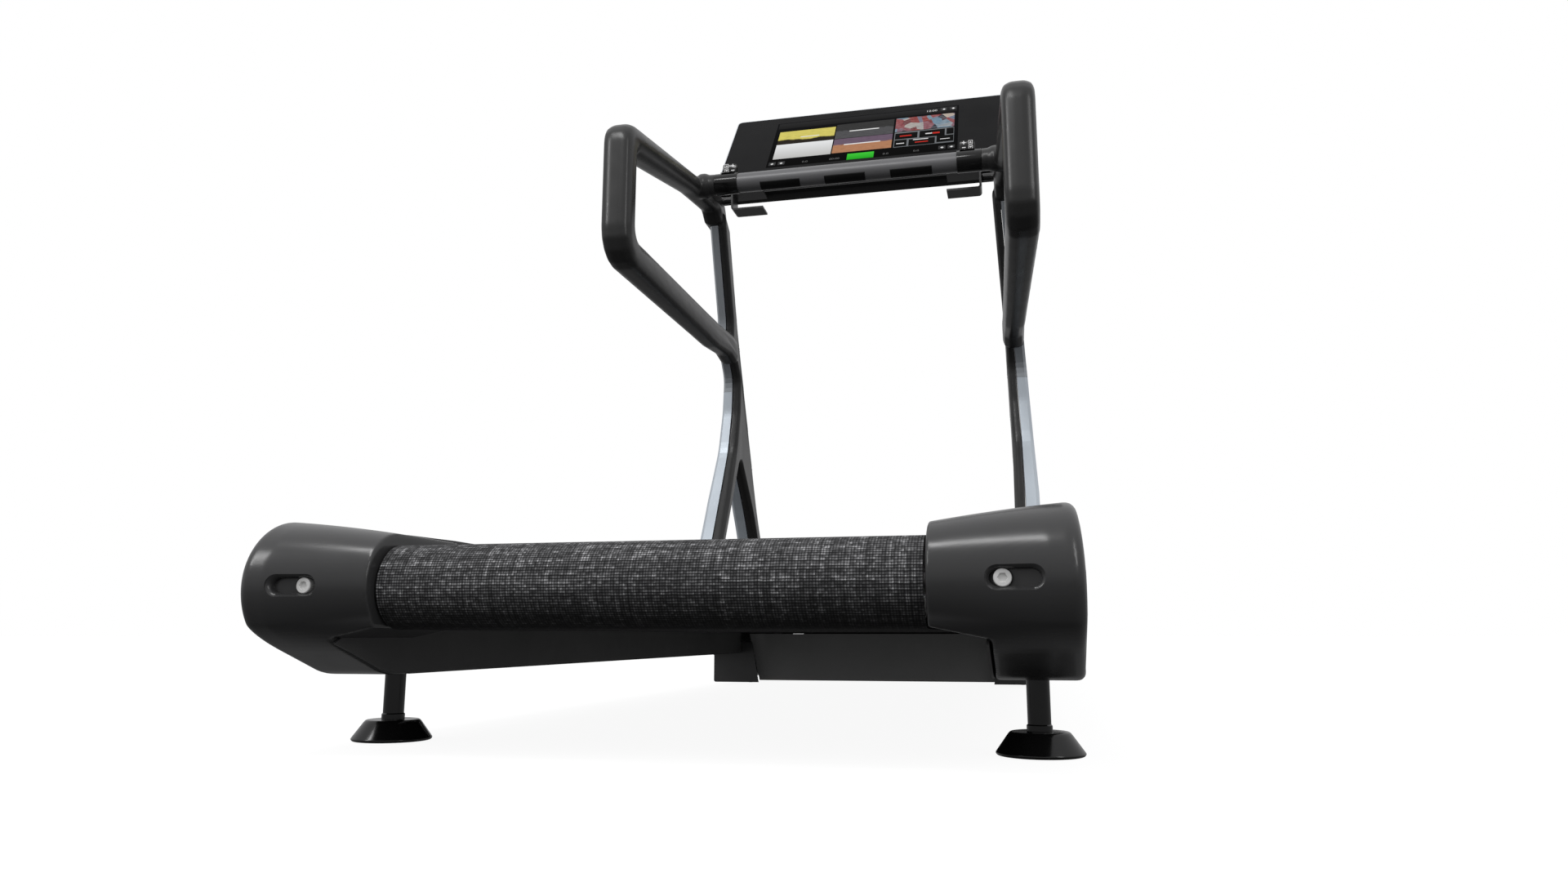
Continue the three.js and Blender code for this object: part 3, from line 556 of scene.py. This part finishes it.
def round_axle(u, v, t):
    """u and v round the rear roller's axle, t along it."""
    return at(t, ROLLER["rear_y"] + u, ROLLER["z"] + v)


def round_screw(u, v, t):
    """u and v round the tension screw on the +x side, t along it."""
    return at(SCREW["x"] + u, t, ROLLER["z"] + v)


def round_bar(u, v, t):
    """u and v round the handlebar, t along it."""
    return at(t, BAR["y"] + u, BAR["z"] + v)


def lathe(profile, place, sides=64):
    """Turns (radius, travel) stations. place(u, v, t) gives the point at u, v round the axis."""
    points, faces = [], []
    for radius, travel in profile:
        for k in range(sides):
            angle = 2 * math.pi * k / sides
            points.append(place(radius * math.cos(angle), radius * math.sin(angle), travel))
    for ring in range(len(profile) - 1):
        for k in range(sides):
            a, b = ring * sides + k, ring * sides + (k + 1) % sides
            faces.append((a, b, b + sides, a + sides))
    last = (len(profile) - 1) * sides
    faces.append(tuple(range(sides - 1, -1, -1)))
    faces.append(tuple(range(last, last + sides)))
    return mesh_from("lathe", points, faces)


def round_corners(profile, radius, steps=4):
    """Rounds the inner corners of an open (radius, travel) profile."""
    out = [profile[0]]
    for before, here, after in zip(profile, profile[1:], profile[2:]):
        p, q, r = Vector(before), Vector(here), Vector(after)
        cut = min(radius, (p - q).length * 0.45, (r - q).length * 0.45)
        a, b = q + (p - q).normalized() * cut, q + (r - q).normalized() * cut
        for step in range(steps + 1):
            t = step / steps
            out.append(tuple((1 - t) ** 2 * a + 2 * t * (1 - t) * q + t * t * b))
    return out + [profile[-1]]


def baked(obj):
    """The object's mesh with its modifiers applied; the object goes."""
    graph = bpy.context.evaluated_depsgraph_get()
    mesh = bpy.data.meshes.new_from_object(obj.evaluated_get(graph))
    bpy.data.objects.remove(obj)
    return mesh


def scratch(mesh):
    obj = bpy.data.objects.new("scratch", mesh)
    bpy.context.scene.collection.objects.link(obj)
    return obj


def carved(mesh, *tools):
    """The mesh less each of the tools, which are used up."""
    obj = scratch(mesh)
    helpers = []
    for tool in tools:
        helper = scratch(tool)
        helpers.append(helper)
        step = obj.modifiers.new("carve", "BOOLEAN")
        step.operation = "DIFFERENCE"
        step.solver = "EXACT"
        step.object = helper
    result = baked(obj)
    for helper in helpers:
        bpy.data.objects.remove(helper)
    return result


def melt(obj, passes, group=""):
    """Smooths the object's skin, only as far as the vertex group says when there is one."""
    step = obj.modifiers.new("melt", "SMOOTH")
    step.factor = 0.5
    step.iterations = passes
    step.vertex_group = group


def sculpted(mesh, voxel, passes):
    """One continuous skin over the mesh, its edges melted into soft radii."""
    obj = scratch(mesh)
    skin = obj.modifiers.new("skin", "REMESH")
    skin.mode = "VOXEL"
    skin.voxel_size = voxel * MM
    melt(obj, passes)
    return baked(obj)


def sliced(mesh, point, normal):
    """Keeps the side of the mesh that the normal points away from."""
    shape = bmesh.new()
    shape.from_mesh(mesh)
    geometry = shape.verts[:] + shape.edges[:] + shape.faces[:]
    bmesh.ops.bisect_plane(shape, geom=geometry, plane_co=point, plane_no=normal, clear_outer=True)
    whole = bpy.data.meshes.new(mesh.name)
    shape.to_mesh(whole)
    shape.free()
    return whole


def node_copy(node):
    return joined("copy", [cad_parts[node].data])


def add_pair(name, mesh, look, body, replaced, sharp=35):
    """The mesh is made on the +x side; bodies and nodes ending in _ take the side's name."""
    for side in SIDES:
        own = mesh.copy() if side_sign(side) > 0 else mirrored(mesh)
        where = body + side if body.endswith("_") else body
        gone = [n + side for n in replaced]
        finish_piece(f"{name}_{side}", own, look, where, gone, sharp)


# ---------------------------------------------------------------- rear caps
def corner_drop(x, radius):
    """How far a rounding of that radius has fallen away at x, near the cap's outer side."""
    past = max(0, x - (CAP_HALF_WIDTH - radius))
    return radius - math.sqrt(max(0, radius * radius - past * past))


def bezier(a, b, c, steps):
    """Points along the curve from a to c that leaves and arrives towards b."""
    a, b, c = Vector(a), Vector(b), Vector(c)
    stops = [k / steps for k in range(steps + 1)]
    return [(1 - t) ** 2 * a + 2 * t * (1 - t) * b + t * t * c for t in stops]


def cap_profile(x):
    """Side outline of the cap at x in (y, z): a round nose over a slanting chin."""
    yc, zc = CAP["nose"]
    radius = CAP["radius"] + (min(x, 385) - CAP["inner"]) * CAP["flare"]
    outward = (x - CAP["inner"]) / (CAP_HALF_WIDTH - CAP["inner"])
    rise = 54 + 21 * outward - 5.5 * outward ** 2
    past_front = CAP["front"] + 16
    points = [Vector((past_front, zc + rise))]
    for step in range(43):
        angle = math.radians(90 + 3 * step)
        tall = rise if step <= 30 else radius
        points.append(Vector((yc + radius * math.cos(angle), zc + tall * math.sin(angle))))
    points += bezier(points[-1], (-200, 118), (-150, 101.5), 8)[1:]
    points += bezier((-96, 83), (-82, 78.5), (-64, CAP["bottom"]), 6)
    points.append(Vector((past_front, CAP["bottom"])))
    rear = 1 - corner_drop(x, CAP_CORNER["plan"]) / radius
    top = 1 - corner_drop(x, CAP_CORNER["top"]) / radius
    bottom = 1 - corner_drop(x, CAP_CORNER["bottom"]) / (zc - CAP["bottom"])
    for p in points:
        if p.x < yc:
            p.x = yc + (p.x - yc) * rear
        p.y = zc + (p.y - zc) * (top if p.y > zc else bottom)
    return points


def cap_solid():
    rounded = CAP_HALF_WIDTH - CAP_CORNER["plan"]
    flat_steps, round_steps = 30, 24
    stations = [CAP["inner"] + (rounded - CAP["inner"]) * k / flat_steps for k in range(flat_steps)]
    stations += [rounded + CAP_CORNER["plan"] * math.sin(math.pi / 2 * k / round_steps)
                 for k in range(round_steps + 1)]
    loops = [cap_profile(x) for x in stations]
    count = len(loops[0])

    def bulged(x, y, z):
        """The nose is narrower than the side cover, and leans in above and below its middle."""
        lean = 1 - max(0, min(1, (y + 160) / 110))
        full = (COVER_HALF_WIDTH - CAP_HALF_WIDTH) / (CAP_HALF_WIDTH - CAP["inner"])
        height = (z - 160) / 80
        tuck = (0.034 if height > 0 else 0.018) * height ** 2
        return CAP["inner"] + (x - CAP["inner"]) * (1 + full * (1 - lean) - tuck * lean)

    points = [at(bulged(x, *p), *p) for x, loop in zip(stations, loops) for p in loop]
    faces = []
    for s in range(len(stations) - 1):
        for i in range(count):
            j = (i + 1) % count
            faces.append((s * count + i, s * count + j, (s + 1) * count + j, (s + 1) * count + i))
    last = (len(stations) - 1) * count
    faces += [tuple(range(count)), tuple(range(last + count - 1, last - 1, -1))]
    return mesh_from("cap", points, faces)


def add_rear_caps():
    z = ROLLER["z"]
    slot_x = (SLOT["inner"] + SLOT["outer"]) / 2
    half, r = (SLOT["outer"] - SLOT["inner"]) / 2, SLOT["radius"]
    nose = CAP["nose"][0] - CAP["radius"] - CAP["flare"] * (slot_x - CAP["inner"])

    def slot_tool(near, far, near_inset, far_inset):
        """A stadium that follows the nose's slant; the insets narrow it towards its floor."""

        def place(a, b, t):
            inset = near_inset if t == near else far_inset
            return at(slot_x + a * (1 - inset / half), t - CAP["flare"] * a, z + b * (1 - inset / r))

        stadium = fillet([(-half, -r, r), (half, -r, r), (half, r, r), (-half, r, r)])
        return prism(stadium, place, near, far)

    rail_space = [(-24, 104), (-24, 222), (-170, 222, 30), (-196, 180, 20), (-190, 140, 10),
                  (-120, 104)]
    hollow = prism(fillet(rail_space), along_x, 338, 410)
    wall, under_nose = INNER_WALL["x"], CAP["inner"] - 8
    below = [(under_nose, 60), (wall, 60), (wall, INNER_WALL["top"], 3), (under_nose, 131)]
    under = prism(fillet(below), along_y, -250, 0)
    window = lathe([(30, under_nose), (30, wall + 12)], round_axle)
    shell = sculpted(carved(cap_solid(), hollow, under, window), voxel=2.2, passes=3)
    rim = SLOT["rim"]
    mouth = slot_tool(nose - 20, nose + 1.2, 0, 0)
    funnel = slot_tool(nose + 1.1, nose + 5, 0, rim)
    pocket = slot_tool(nose + 4.9, SLOT["floor"], rim, rim)
    around_head, around_shank = SCREW["head"] + 0.7, SCREW["shank"] + 0.8
    step_y = SLOT["floor"] + 6
    bore = lathe([(around_head, -230), (around_head, step_y), (around_shank, step_y), (around_shank, -150)],
                 round_screw)
    shell = carved(shell, mouth, funnel, pocket, bore)
    shell = sliced(shell, at(0, CAP["front"], 0), (0, 1, 0))
    add_pair("rear_cap_shell", shell, "moulding", "chassis", ["rear_cap_"], sharp=50)


# ---------------------------------------------------------------- base
def add_base_liners():
    """Flat inner walls under the belt's edges and the raised lip along the pan's rear wall, both in plastic
    made lighter as painted light.
    """
    bottom, front = INNER_WALL["bottom"], INNER_WALL["front"]
    wall = [(-184, 113), (-150, 102.5), (-98, 84.5), (-62, bottom), (front, bottom), (front, 150),
            (-120, 150)]
    inside, outside = INNER_WALL["x"] - 4.4, INNER_WALL["x"] - 2
    add_pair("skirt_liner", prism(wall, along_x, inside, outside), "liner", "chassis", [])
    rear = (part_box("base_pan")[0].y - FEET_Y) / MM
    low, high = 107, 123
    section = [(rear + 1, low), (rear + 5, low), (rear + 5, high), (rear + 1, high, 1)]
    lip = prism(fillet(section), along_x, -300, 300)
    finish_piece("pan_lip", lip, "lip", "chassis", sharp=40)


# ---------------------------------------------------------------- running belt
def add_belt():
    """A closed loop round both rollers, with UVs in metres across and along it."""
    steps = 48

    def run(radius):
        loop = []
        for centre, start in ((ROLLER["rear_y"], 90), (ROLLER["front_y"], -90)):
            for step in range(steps + 1):
                angle = math.radians(start + 180 * step / steps)
                place = (centre + radius * math.cos(angle), ROLLER["z"] + radius * math.sin(angle))
                loop.append(place)
        return loop

    outer, inner = run(BELT["radius"]), run(BELT["inner_radius"])
    half, lip = BELT["half"], BELT["lip"]
    section = [(-half, inner), (-half, outer), (-half + lip, outer), (half - lip, outer), (half, outer),
               (half, inner)]
    count = len(outer)
    points = [at(x, *loop[i]) for x, loop in section for i in range(count)]
    faces = []
    for s in range(len(section)):
        t = (s + 1) % len(section)
        for i in range(count):
            j = (i + 1) % count
            faces.append((s * count + i, s * count + j, t * count + j, t * count + i))
    mesh = bpy.data.meshes.new("running_belt_weave")
    mesh.from_pydata(points, [], faces)
    travel = [0.0]
    for i in range(count):
        a, b = Vector(outer[i]), Vector(outer[(i + 1) % count])
        travel.append(travel[-1] + (b - a).length * MM)
    layer = mesh.uv_layers.new(name="weave")
    for polygon in mesh.polygons:
        wraps = any(v % count == count - 1 for v in polygon.vertices)
        for loop in polygon.loop_indices:
            vertex = mesh.loops[loop].vertex_index
            station = vertex % count
            v = travel[count] if wraps and station == 0 else travel[station]
            layer.data[loop].uv = (mesh.vertices[vertex].co.x, v)
    face_outward(mesh)
    finish_piece("running_belt_weave", mesh, "belt", "chassis", ["running_belt"])


# ---------------------------------------------------------------- towers
def add_towers():
    """A soft skin over each tower: the hand loops are well rounded, the uprights only eased."""
    upright_y, neck_x = at(0, 1215, 0).y, 326
    for side in SIDES:
        skin = scratch(sculpted(node_copy("tower_" + side), voxel=2.4, passes=3))
        loops = skin.vertex_groups.new(name="loops")
        for vertex in skin.data.vertices:
            behind = (upright_y - vertex.co.y) / (60 * MM)
            clear_of_neck = (abs(vertex.co.x) / MM - neck_x) / 20
            loops.add([vertex.index], max(0, min(1, behind, clear_of_neck)), "REPLACE")
        melt(skin, 24, "loops")
        finish_piece("tower_shell_" + side, baked(skin), "soft", "chassis", ["tower_" + side], sharp=0)

    start = COLLAR["outer"] + 0.4
    neck = [(2, start), (23.5, start), (24, start + 0.6), (24.5, 322), (27, 334), (20, 352), (2, 356)]
    add_pair("tower_neck", lathe(neck, round_bar), "soft", "chassis", [], sharp=50)


# ---------------------------------------------------------------- feet and screws
def add_feet():
    x = FOOT["x"]

    def upright(u, v, t):
        return at(x + u, v, t)

    base, neck, height = FOOT["base"], FOOT["neck"], FOOT["height"]
    bell = round_corners([(0.5, 0), (base - 2, 0), (base, 2.5), (neck, height - 2.5), (neck - 2.4, height),
                          (0.5, height)], 1.5)
    add_pair("foot_cone", lathe(bell, upright, 96), "gloss", "foot_", ["foot_bell_"])
    nut, radius, top = FOOT["nut"], FOOT["rod"], FOOT["rod_top"]
    foot = height + 0.3
    rod = [(0.5, foot), (nut, foot), (nut, height + 6), (radius, height + 7.2), (radius, top - 1.5),
           (radius - 1.5, top), (0.5, top)]
    add_pair("foot_stem", lathe(rod, upright, 48), "gloss", "foot_", ["foot_rod_"])


def add_screws():
    head, shank = SCREW["head"], SCREW["shank"]
    y, neck, tip = SCREW["y"], SCREW["y"] + SCREW["length"], SCREW["tip"]
    outer = [(0.4, y), (head - 0.7, y), (head, y + 0.7), (head, neck), (shank, neck), (shank, tip),
             (0.4, tip)]
    wide, narrow = SCREW["hex"] + 0.4, SCREW["hex"]
    socket = lathe([(wide, y - 1), (wide, y + 0.1), (narrow, y + 0.5), (narrow, y + 2.2)], round_screw, 6)
    bolt = carved(lathe(outer, round_screw), socket)
    add_pair("tension_bolt", bolt, "zinc", "screw_", ["tension_screw_"])


# ---------------------------------------------------------------- handlebar
def add_handlebar():
    bore, radius, half = BAR["bore"], BAR["radius"], BAR["half"]
    tube = lathe([(bore, -half), (radius, -half), (radius, half), (bore, half)], round_bar, 96)
    finish_piece("handlebar_sleeve", tube, "tube", "chassis", ["handlebar_tube"])
    fit, rim = radius + 0.3, COLLAR["radius"]
    start, end = COLLAR["inner"], COLLAR["outer"]
    ring = round_corners([(fit, start), (rim, start), (rim, end), (fit, end)], 1.6)
    add_pair("handlebar_ring", lathe(ring, round_bar, 96), "gloss", "chassis", ["handlebar_collar_"])
    for label, middle in (("lower", PADS["lower"]), ("upper", PADS["upper"])):
        for place in ("left", "middle", "right"):
            node = f"sensor_pad_{label}_{place}"
            low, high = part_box(node)
            x_mid = (low.x + high.x) / 2 / MM
            pad = curved_pad(x_mid, PADS["half"], middle, PADS["spread"])
            finish_piece(f"grip_{node}", pad, "sensor", "chassis", [node])


def curved_pad(x, half, middle, spread):
    """A thin contact plate wrapped on the bar, its rim rolled down to the tube."""
    inner, crown = BAR["radius"] + 0.2, BAR["radius"] + 1.4
    stations_x = [-half, -half + 0.6, -half + 2, half - 2, half - 0.6, half]
    steps = 22
    points, faces = [], []
    for i, dx in enumerate(stations_x):
        for j in range(steps + 1):
            angle = math.radians(middle - spread + 2 * spread * j / steps)
            edge = i in (0, len(stations_x) - 1) or j in (0, steps)
            near_edge = i in (1, len(stations_x) - 2) or j in (1, steps - 1)
            radius = inner if edge else crown - (0.25 if near_edge else 0)
            out, up = radius * math.cos(angle), radius * math.sin(angle)
            points.append(at(x + dx, BAR["y"] + out, BAR["z"] + up))
    row = steps + 1
    for i in range(len(stations_x) - 1):
        for j in range(steps):
            a = i * row + j
            faces.append((a, a + 1, a + row + 1, a + row))
    return mesh_from("pad", points, faces)


# ---------------------------------------------------------------- console
def on_panel(x, up, out):
    """A point of the tilted panel: x across, up its face, out towards the runner."""
    tilt = math.radians(CONSOLE["tilt"])
    y = CONSOLE["y"] + up * math.cos(tilt) - out * math.sin(tilt)
    z = CONSOLE["z"] + up * math.sin(tilt) + out * math.cos(tilt)
    return at(x, y, z)


# How far each layer of the lit picture stands off the glass.
FIELD, TILE, KEY, MARK = 0.06, 0.12, 0.16, 0.2


def plates(name, rects, look, out):
    """Flat printed or lit areas on the panel, each with its own 0-to-1 UVs."""
    points, faces = [], []
    for x0, x1, low, high in rects:
        start = len(points)
        points += [on_panel(x, up, out) for x, up in ((x0, low), (x1, low), (x1, high), (x0, high))]
        faces.append((start, start + 1, start + 2, start + 3))
    mesh = bpy.data.meshes.new(name)
    mesh.from_pydata(points, [], faces)
    layer = mesh.uv_layers.new(name="picture")
    corners = ((0, 0), (1, 0), (1, 1), (0, 1))
    for polygon in mesh.polygons:
        for corner, loop in zip(corners, polygon.loop_indices):
            layer.data[loop].uv = corner
    finish_piece(name, mesh, look, "chassis", sharp=0)


def paint_two_tone(sky, ground, level, scale=4.0, ridge=0.25):
    """A landscape-like picture: one tone over another with an uneven horizon."""

    def paint(look):
        hills = look.add("TexNoise", ("Vector", look.point("UV", (1, 0.15, 1))), ("Scale", scale),
                         ("Detail", 4.0))
        edge = look.math("MULTIPLY_ADD", look.math("SUBTRACT", hills, 0.5), ridge,
                         picture_height(look))
        above = look.span(edge, (level - 0.04, level + 0.04), (0, 1))
        texture = look.add("TexNoise", ("Vector", look.point("UV", (3, 9, 1))), ("Scale", 3.0),
                           ("Detail", 5.0))
        soft = look.span(texture, (0.3, 0.7), (0.75, 1.1))
        colour = look.mix(above, ground, sky)
        return look.mix(1.0, colour, look.ramp(soft, [(0, grey(0)), (1, grey(1))]), "MULTIPLY")

    return paint


def paint_blocks(colours, scale):
    """Blurred coloured patches, like a film still seen from afar."""

    def paint(look):
        spread = look.point("UV", (2.2, 1, 1))
        cells = look.add("TexVoronoi", ("Vector", spread), ("Scale", scale), out=1)
        pick = look.add("SeparateXYZ", (0, cells), out=0)
        stops = [(i / (len(colours) - 1), c) for i, c in enumerate(colours)]
        grain = look.add("TexNoise", ("Vector", look.point("UV")), ("Scale", 14.0), ("Detail", 3.0))
        specks = look.ramp(grain, [(0.3, grey(0)), (0.7, grey(0.5))])
        return look.mix(0.25, look.ramp(pick, stops), specks)

    return paint


def paint_plain(a, b):
    def paint(look):
        return look.mix(look.span(picture_height(look), (0, 1), (0, 1)), a, b)

    return paint


SCREEN_LOOKS = {
    "screen_base": paint_plain((0.006, 0.006, 0.006), (0.010, 0.010, 0.011)),
    "screen_bar": paint_plain((0.018, 0.018, 0.018), (0.030, 0.030, 0.031)),
    "screen_yellow": paint_two_tone((0.75, 0.66, 0.16), (0.03, 0.025, 0.02), 0.30, 3.0, 0.5),
    "screen_white": paint_plain((0.55, 0.55, 0.54), (0.86, 0.87, 0.88)),
    "screen_grey": paint_two_tone((0.05, 0.05, 0.05), (0.10, 0.10, 0.105), 0.5, 5.0, 0.6),
    "screen_desert": paint_two_tone((0.17, 0.12, 0.17), (0.50, 0.24, 0.13), 0.55),
    "screen_film": paint_blocks(((0.02, 0.03, 0.05), (0.35, 0.03, 0.02), (0.10, 0.25, 0.38),
                                 (0.6, 0.5, 0.42)), 3.0),
    "screen_grid": paint_plain((0.16, 0.17, 0.18), (0.20, 0.21, 0.22)),
    "screen_key": paint_plain((0.008, 0.008, 0.008), (0.012, 0.012, 0.012)),
    "screen_green": paint_plain((0.02, 0.40, 0.02), (0.06, 0.62, 0.05)),
    "screen_red": paint_plain((0.5, 0.02, 0.02), (0.65, 0.05, 0.03)),
    "screen_small_key": paint_plain((0.045, 0.045, 0.047), (0.06, 0.06, 0.062)),
    "screen_dim": paint_plain((0.16, 0.16, 0.16), (0.20, 0.20, 0.20)),
}


def add_screen():
    for name, paint in SCREEN_LOOKS.items():
        MATERIALS[name] = lit_look(name, paint)
    plates("display_field", [(-242, 242, -99, 143)], "screen_base", FIELD)
    plates("display_status_bar", [(-238, 238, 110, 140)], "screen_bar", TILE)
    plates("tile_ride", [(-230, -79, 21, 92)], "screen_yellow", TILE)
    plates("tile_gym", [(-230, -79, -58, 20)], "screen_white", TILE)
    plates("tile_floor", [(-76, 76, 21, 101)], "screen_grey", TILE)
    plates("tile_outdoor", [(-76, 76, -56, 19)], "screen_desert", TILE)
    plates("tile_media", [(81, 232, 25, 101)], "screen_film", TILE)
    plates("tile_apps", [(81, 232, -58, 22)], "screen_grid", TILE)
    keys = [(83, 140, -16, 16), (145, 209, -18, 18), (213, 231, -14, 19),
            (83, 114, -55, -20), (119, 185, -56, -22), (189, 231, -52, -18)]
    plates("app_keys", keys, "screen_key", KEY)
    marks = [(95, 125, -3, 3), (178, 196, -4, 4), (135, 168, -43, -38)]
    plates("app_marks", marks, "screen_red", MARK)
    pale = [(160, 177, -2, 3), (198, 222, -38, -35), (130, 168, -28, -24), (88, 108, -41, -37),
            (-40, 38, 56, 61), (-48, 46, -17, -12), (-170, -120, 52, 56)]
    plates("tile_marks", pale, "icon", MARK)
    plates("go_key", [(-34, 34, -98, -67)], "screen_green", KEY)
    small = [(-237, -219, -90, -73), (-213, -195, -90, -73), (195, 212, -90, -73), (218, 235, -90, -73),
             (195, 211, 120, 136), (219, 235, 120, 136)]
    plates("corner_keys", small, "screen_small_key", KEY)
    arrows("corner_arrows", [(x0 + 9, (low + high) / 2) for x0, _, low, high in small], MARK)
    readouts = (("readout_speed", "0.0", -142), ("readout_time", "00:00", -66),
                ("readout_slope", "0.0", 64), ("readout_distance", "0.0", 140))
    for name, text, x in readouts:
        digits(name, text, x, -89, 12, "screen_dim", KEY)
    digits("readout_clock", "12:00", 172, 121, 13, "icon", MARK)


def arrows(name, centres, out):
    """Small upward arrows, each with its head and stem in one face."""
    shape = ((-5, -1), (0, 4), (5, -1), (2, -1), (2, -4), (-2, -4), (-2, -1))
    points, faces = [], []
    for x, up in centres:
        start = len(points)
        points += [on_panel(x + dx, up + dy, out) for dx, dy in shape]
        faces.append(tuple(range(start, start + len(shape))))
    mesh = bpy.data.meshes.new(name)
    mesh.from_pydata(points, [], faces)
    finish_piece(name, mesh, "icon", "chassis", sharp=0)


def digits(name, text, x, up, size, look, out):
    """Readout numerals lying on the panel."""
    curve = bpy.data.curves.new(name, "FONT")
    curve.body = text
    curve.align_x = "CENTER"
    curve.size = size
    letters = scratch(curve)
    mesh = baked(letters)
    for vertex in mesh.vertices:
        vertex.co = on_panel(x + vertex.co.x, up + vertex.co.y, out)
    finish_piece(name, mesh, look, "chassis", sharp=0)


def add_console():
    inset, corner, thickness = 2.3, 11, 3
    reach, low, high = CONSOLE["half"] - inset, CONSOLE["low"] + inset, CONSOLE["high"] - inset
    corners = [(-reach, low), (reach, low), (reach, high), (-reach, high)]
    sheet = prism(fillet([(*place, corner) for place in corners]), on_panel, -thickness, 0)
    finish_piece("console_screen_glass", sheet, "glass", "chassis", ["console_glass"])
    add_screen()


# ---------------------------------------------------------------- paddles
def add_paddles():
    inner, outer, top = PADDLE["inner"], PADDLE["outer"], PADDLE["top"]
    y0 = BAR["y"] + 4
    width = outer - inner
    hub = []
    for radius, angles in ((27.4, range(130, 39, -6)), (25.8, range(40, 131, 6))):
        for angle in angles:
            a = math.radians(angle)
            hub.append((BAR["y"] + radius * math.cos(a), BAR["z"] + radius * math.sin(a)))
    saddle = prism(hub, along_x, inner + 0.4, outer - 0.4)
    foot = BAR["z"] + 26.4
    face = fillet([(inner, foot), (outer, foot), (outer, top, 6), (inner, top, 6)])
    tab = scratch(prism(face, along_y, y0, y0 + PADDLE["thickness"]))
    soften(tab, 1.1 * MM)
    body = joined("paddle", [saddle, baked(tab)])
    add_pair("speed_paddle", body, "gloss", "paddle_", ["control_paddle_"], sharp=40)
    middle_x, middle_z = inner + width * 0.5, (foot + top) / 2 + 2
    out = y0 - 0.15

    def bar(cx, cz, wide, tall):
        return [at(cx - wide / 2, out, cz - tall / 2), at(cx + wide / 2, out, cz - tall / 2),
                at(cx + wide / 2, out, cz + tall / 2), at(cx - wide / 2, out, cz + tall / 2)]

    left, right = middle_x - 7.5, middle_x + 7.5
    upper, lower = middle_z + 5.5, middle_z - 6
    quads = [bar(left, upper, 8, 1.8), bar(left, upper, 1.8, 8), bar(left, lower, 8, 1.8)]
    frames = []
    for cz in (upper, lower):
        frames += [bar(right, cz + 4.2, 9, 1), bar(right, cz - 4.2, 9, 1), bar(right - 4.2, cz, 1, 9),
                   bar(right + 4.2, cz, 1, 9)]
    points, faces = [], []
    for quad in quads + frames:
        faces.append(tuple(range(len(points), len(points) + 4)))
        points += quad
    for cz, up in ((upper, 1), (lower, -1)):
        start = len(points)
        foot_z = cz - 1.5 * up
        points += [at(right - 3, out, foot_z), at(right + 3, out, foot_z), at(right, out, cz + 2 * up)]
        faces.append((start, start + 1, start + 2))
    marks = bpy.data.meshes.new("marks")
    marks.from_pydata(points, [], faces)
    # The marks take the glowing white print, so they shine although the paddle holds no lamp: painted
    # light.
    for side in SIDES:
        own = marks.copy() if side_sign(side) > 0 else mirrored(marks)
        finish_piece("paddle_marks_" + side, own, "icon", "paddle_" + side, sharp=0)


# ---------------------------------------------------------------- everything
bpy.context.scene.view_settings.view_transform = "Standard"
add_camera()
add_world()
add_floor()
add_area_light("overhead", (-0.6, -2.1, 2.8), (0, -0.9, 0.3), size=(1.6, 0.26), power=24)
add_area_light("rear_left", (-3.2, -3.2, 2.9), (0, -0.6, 0.6), size=(0.45, 1.6), power=34)
add_area_light("rear_right", (3.4, -3.0, 2.2), (0, -0.6, 0.6), size=(0.7, 2.2), power=26)
make_materials()
dress_cad_nodes()
add_rear_caps()
add_base_liners()
add_belt()
add_towers()
add_feet()
add_screws()
add_handlebar()
add_paddles()
add_console()
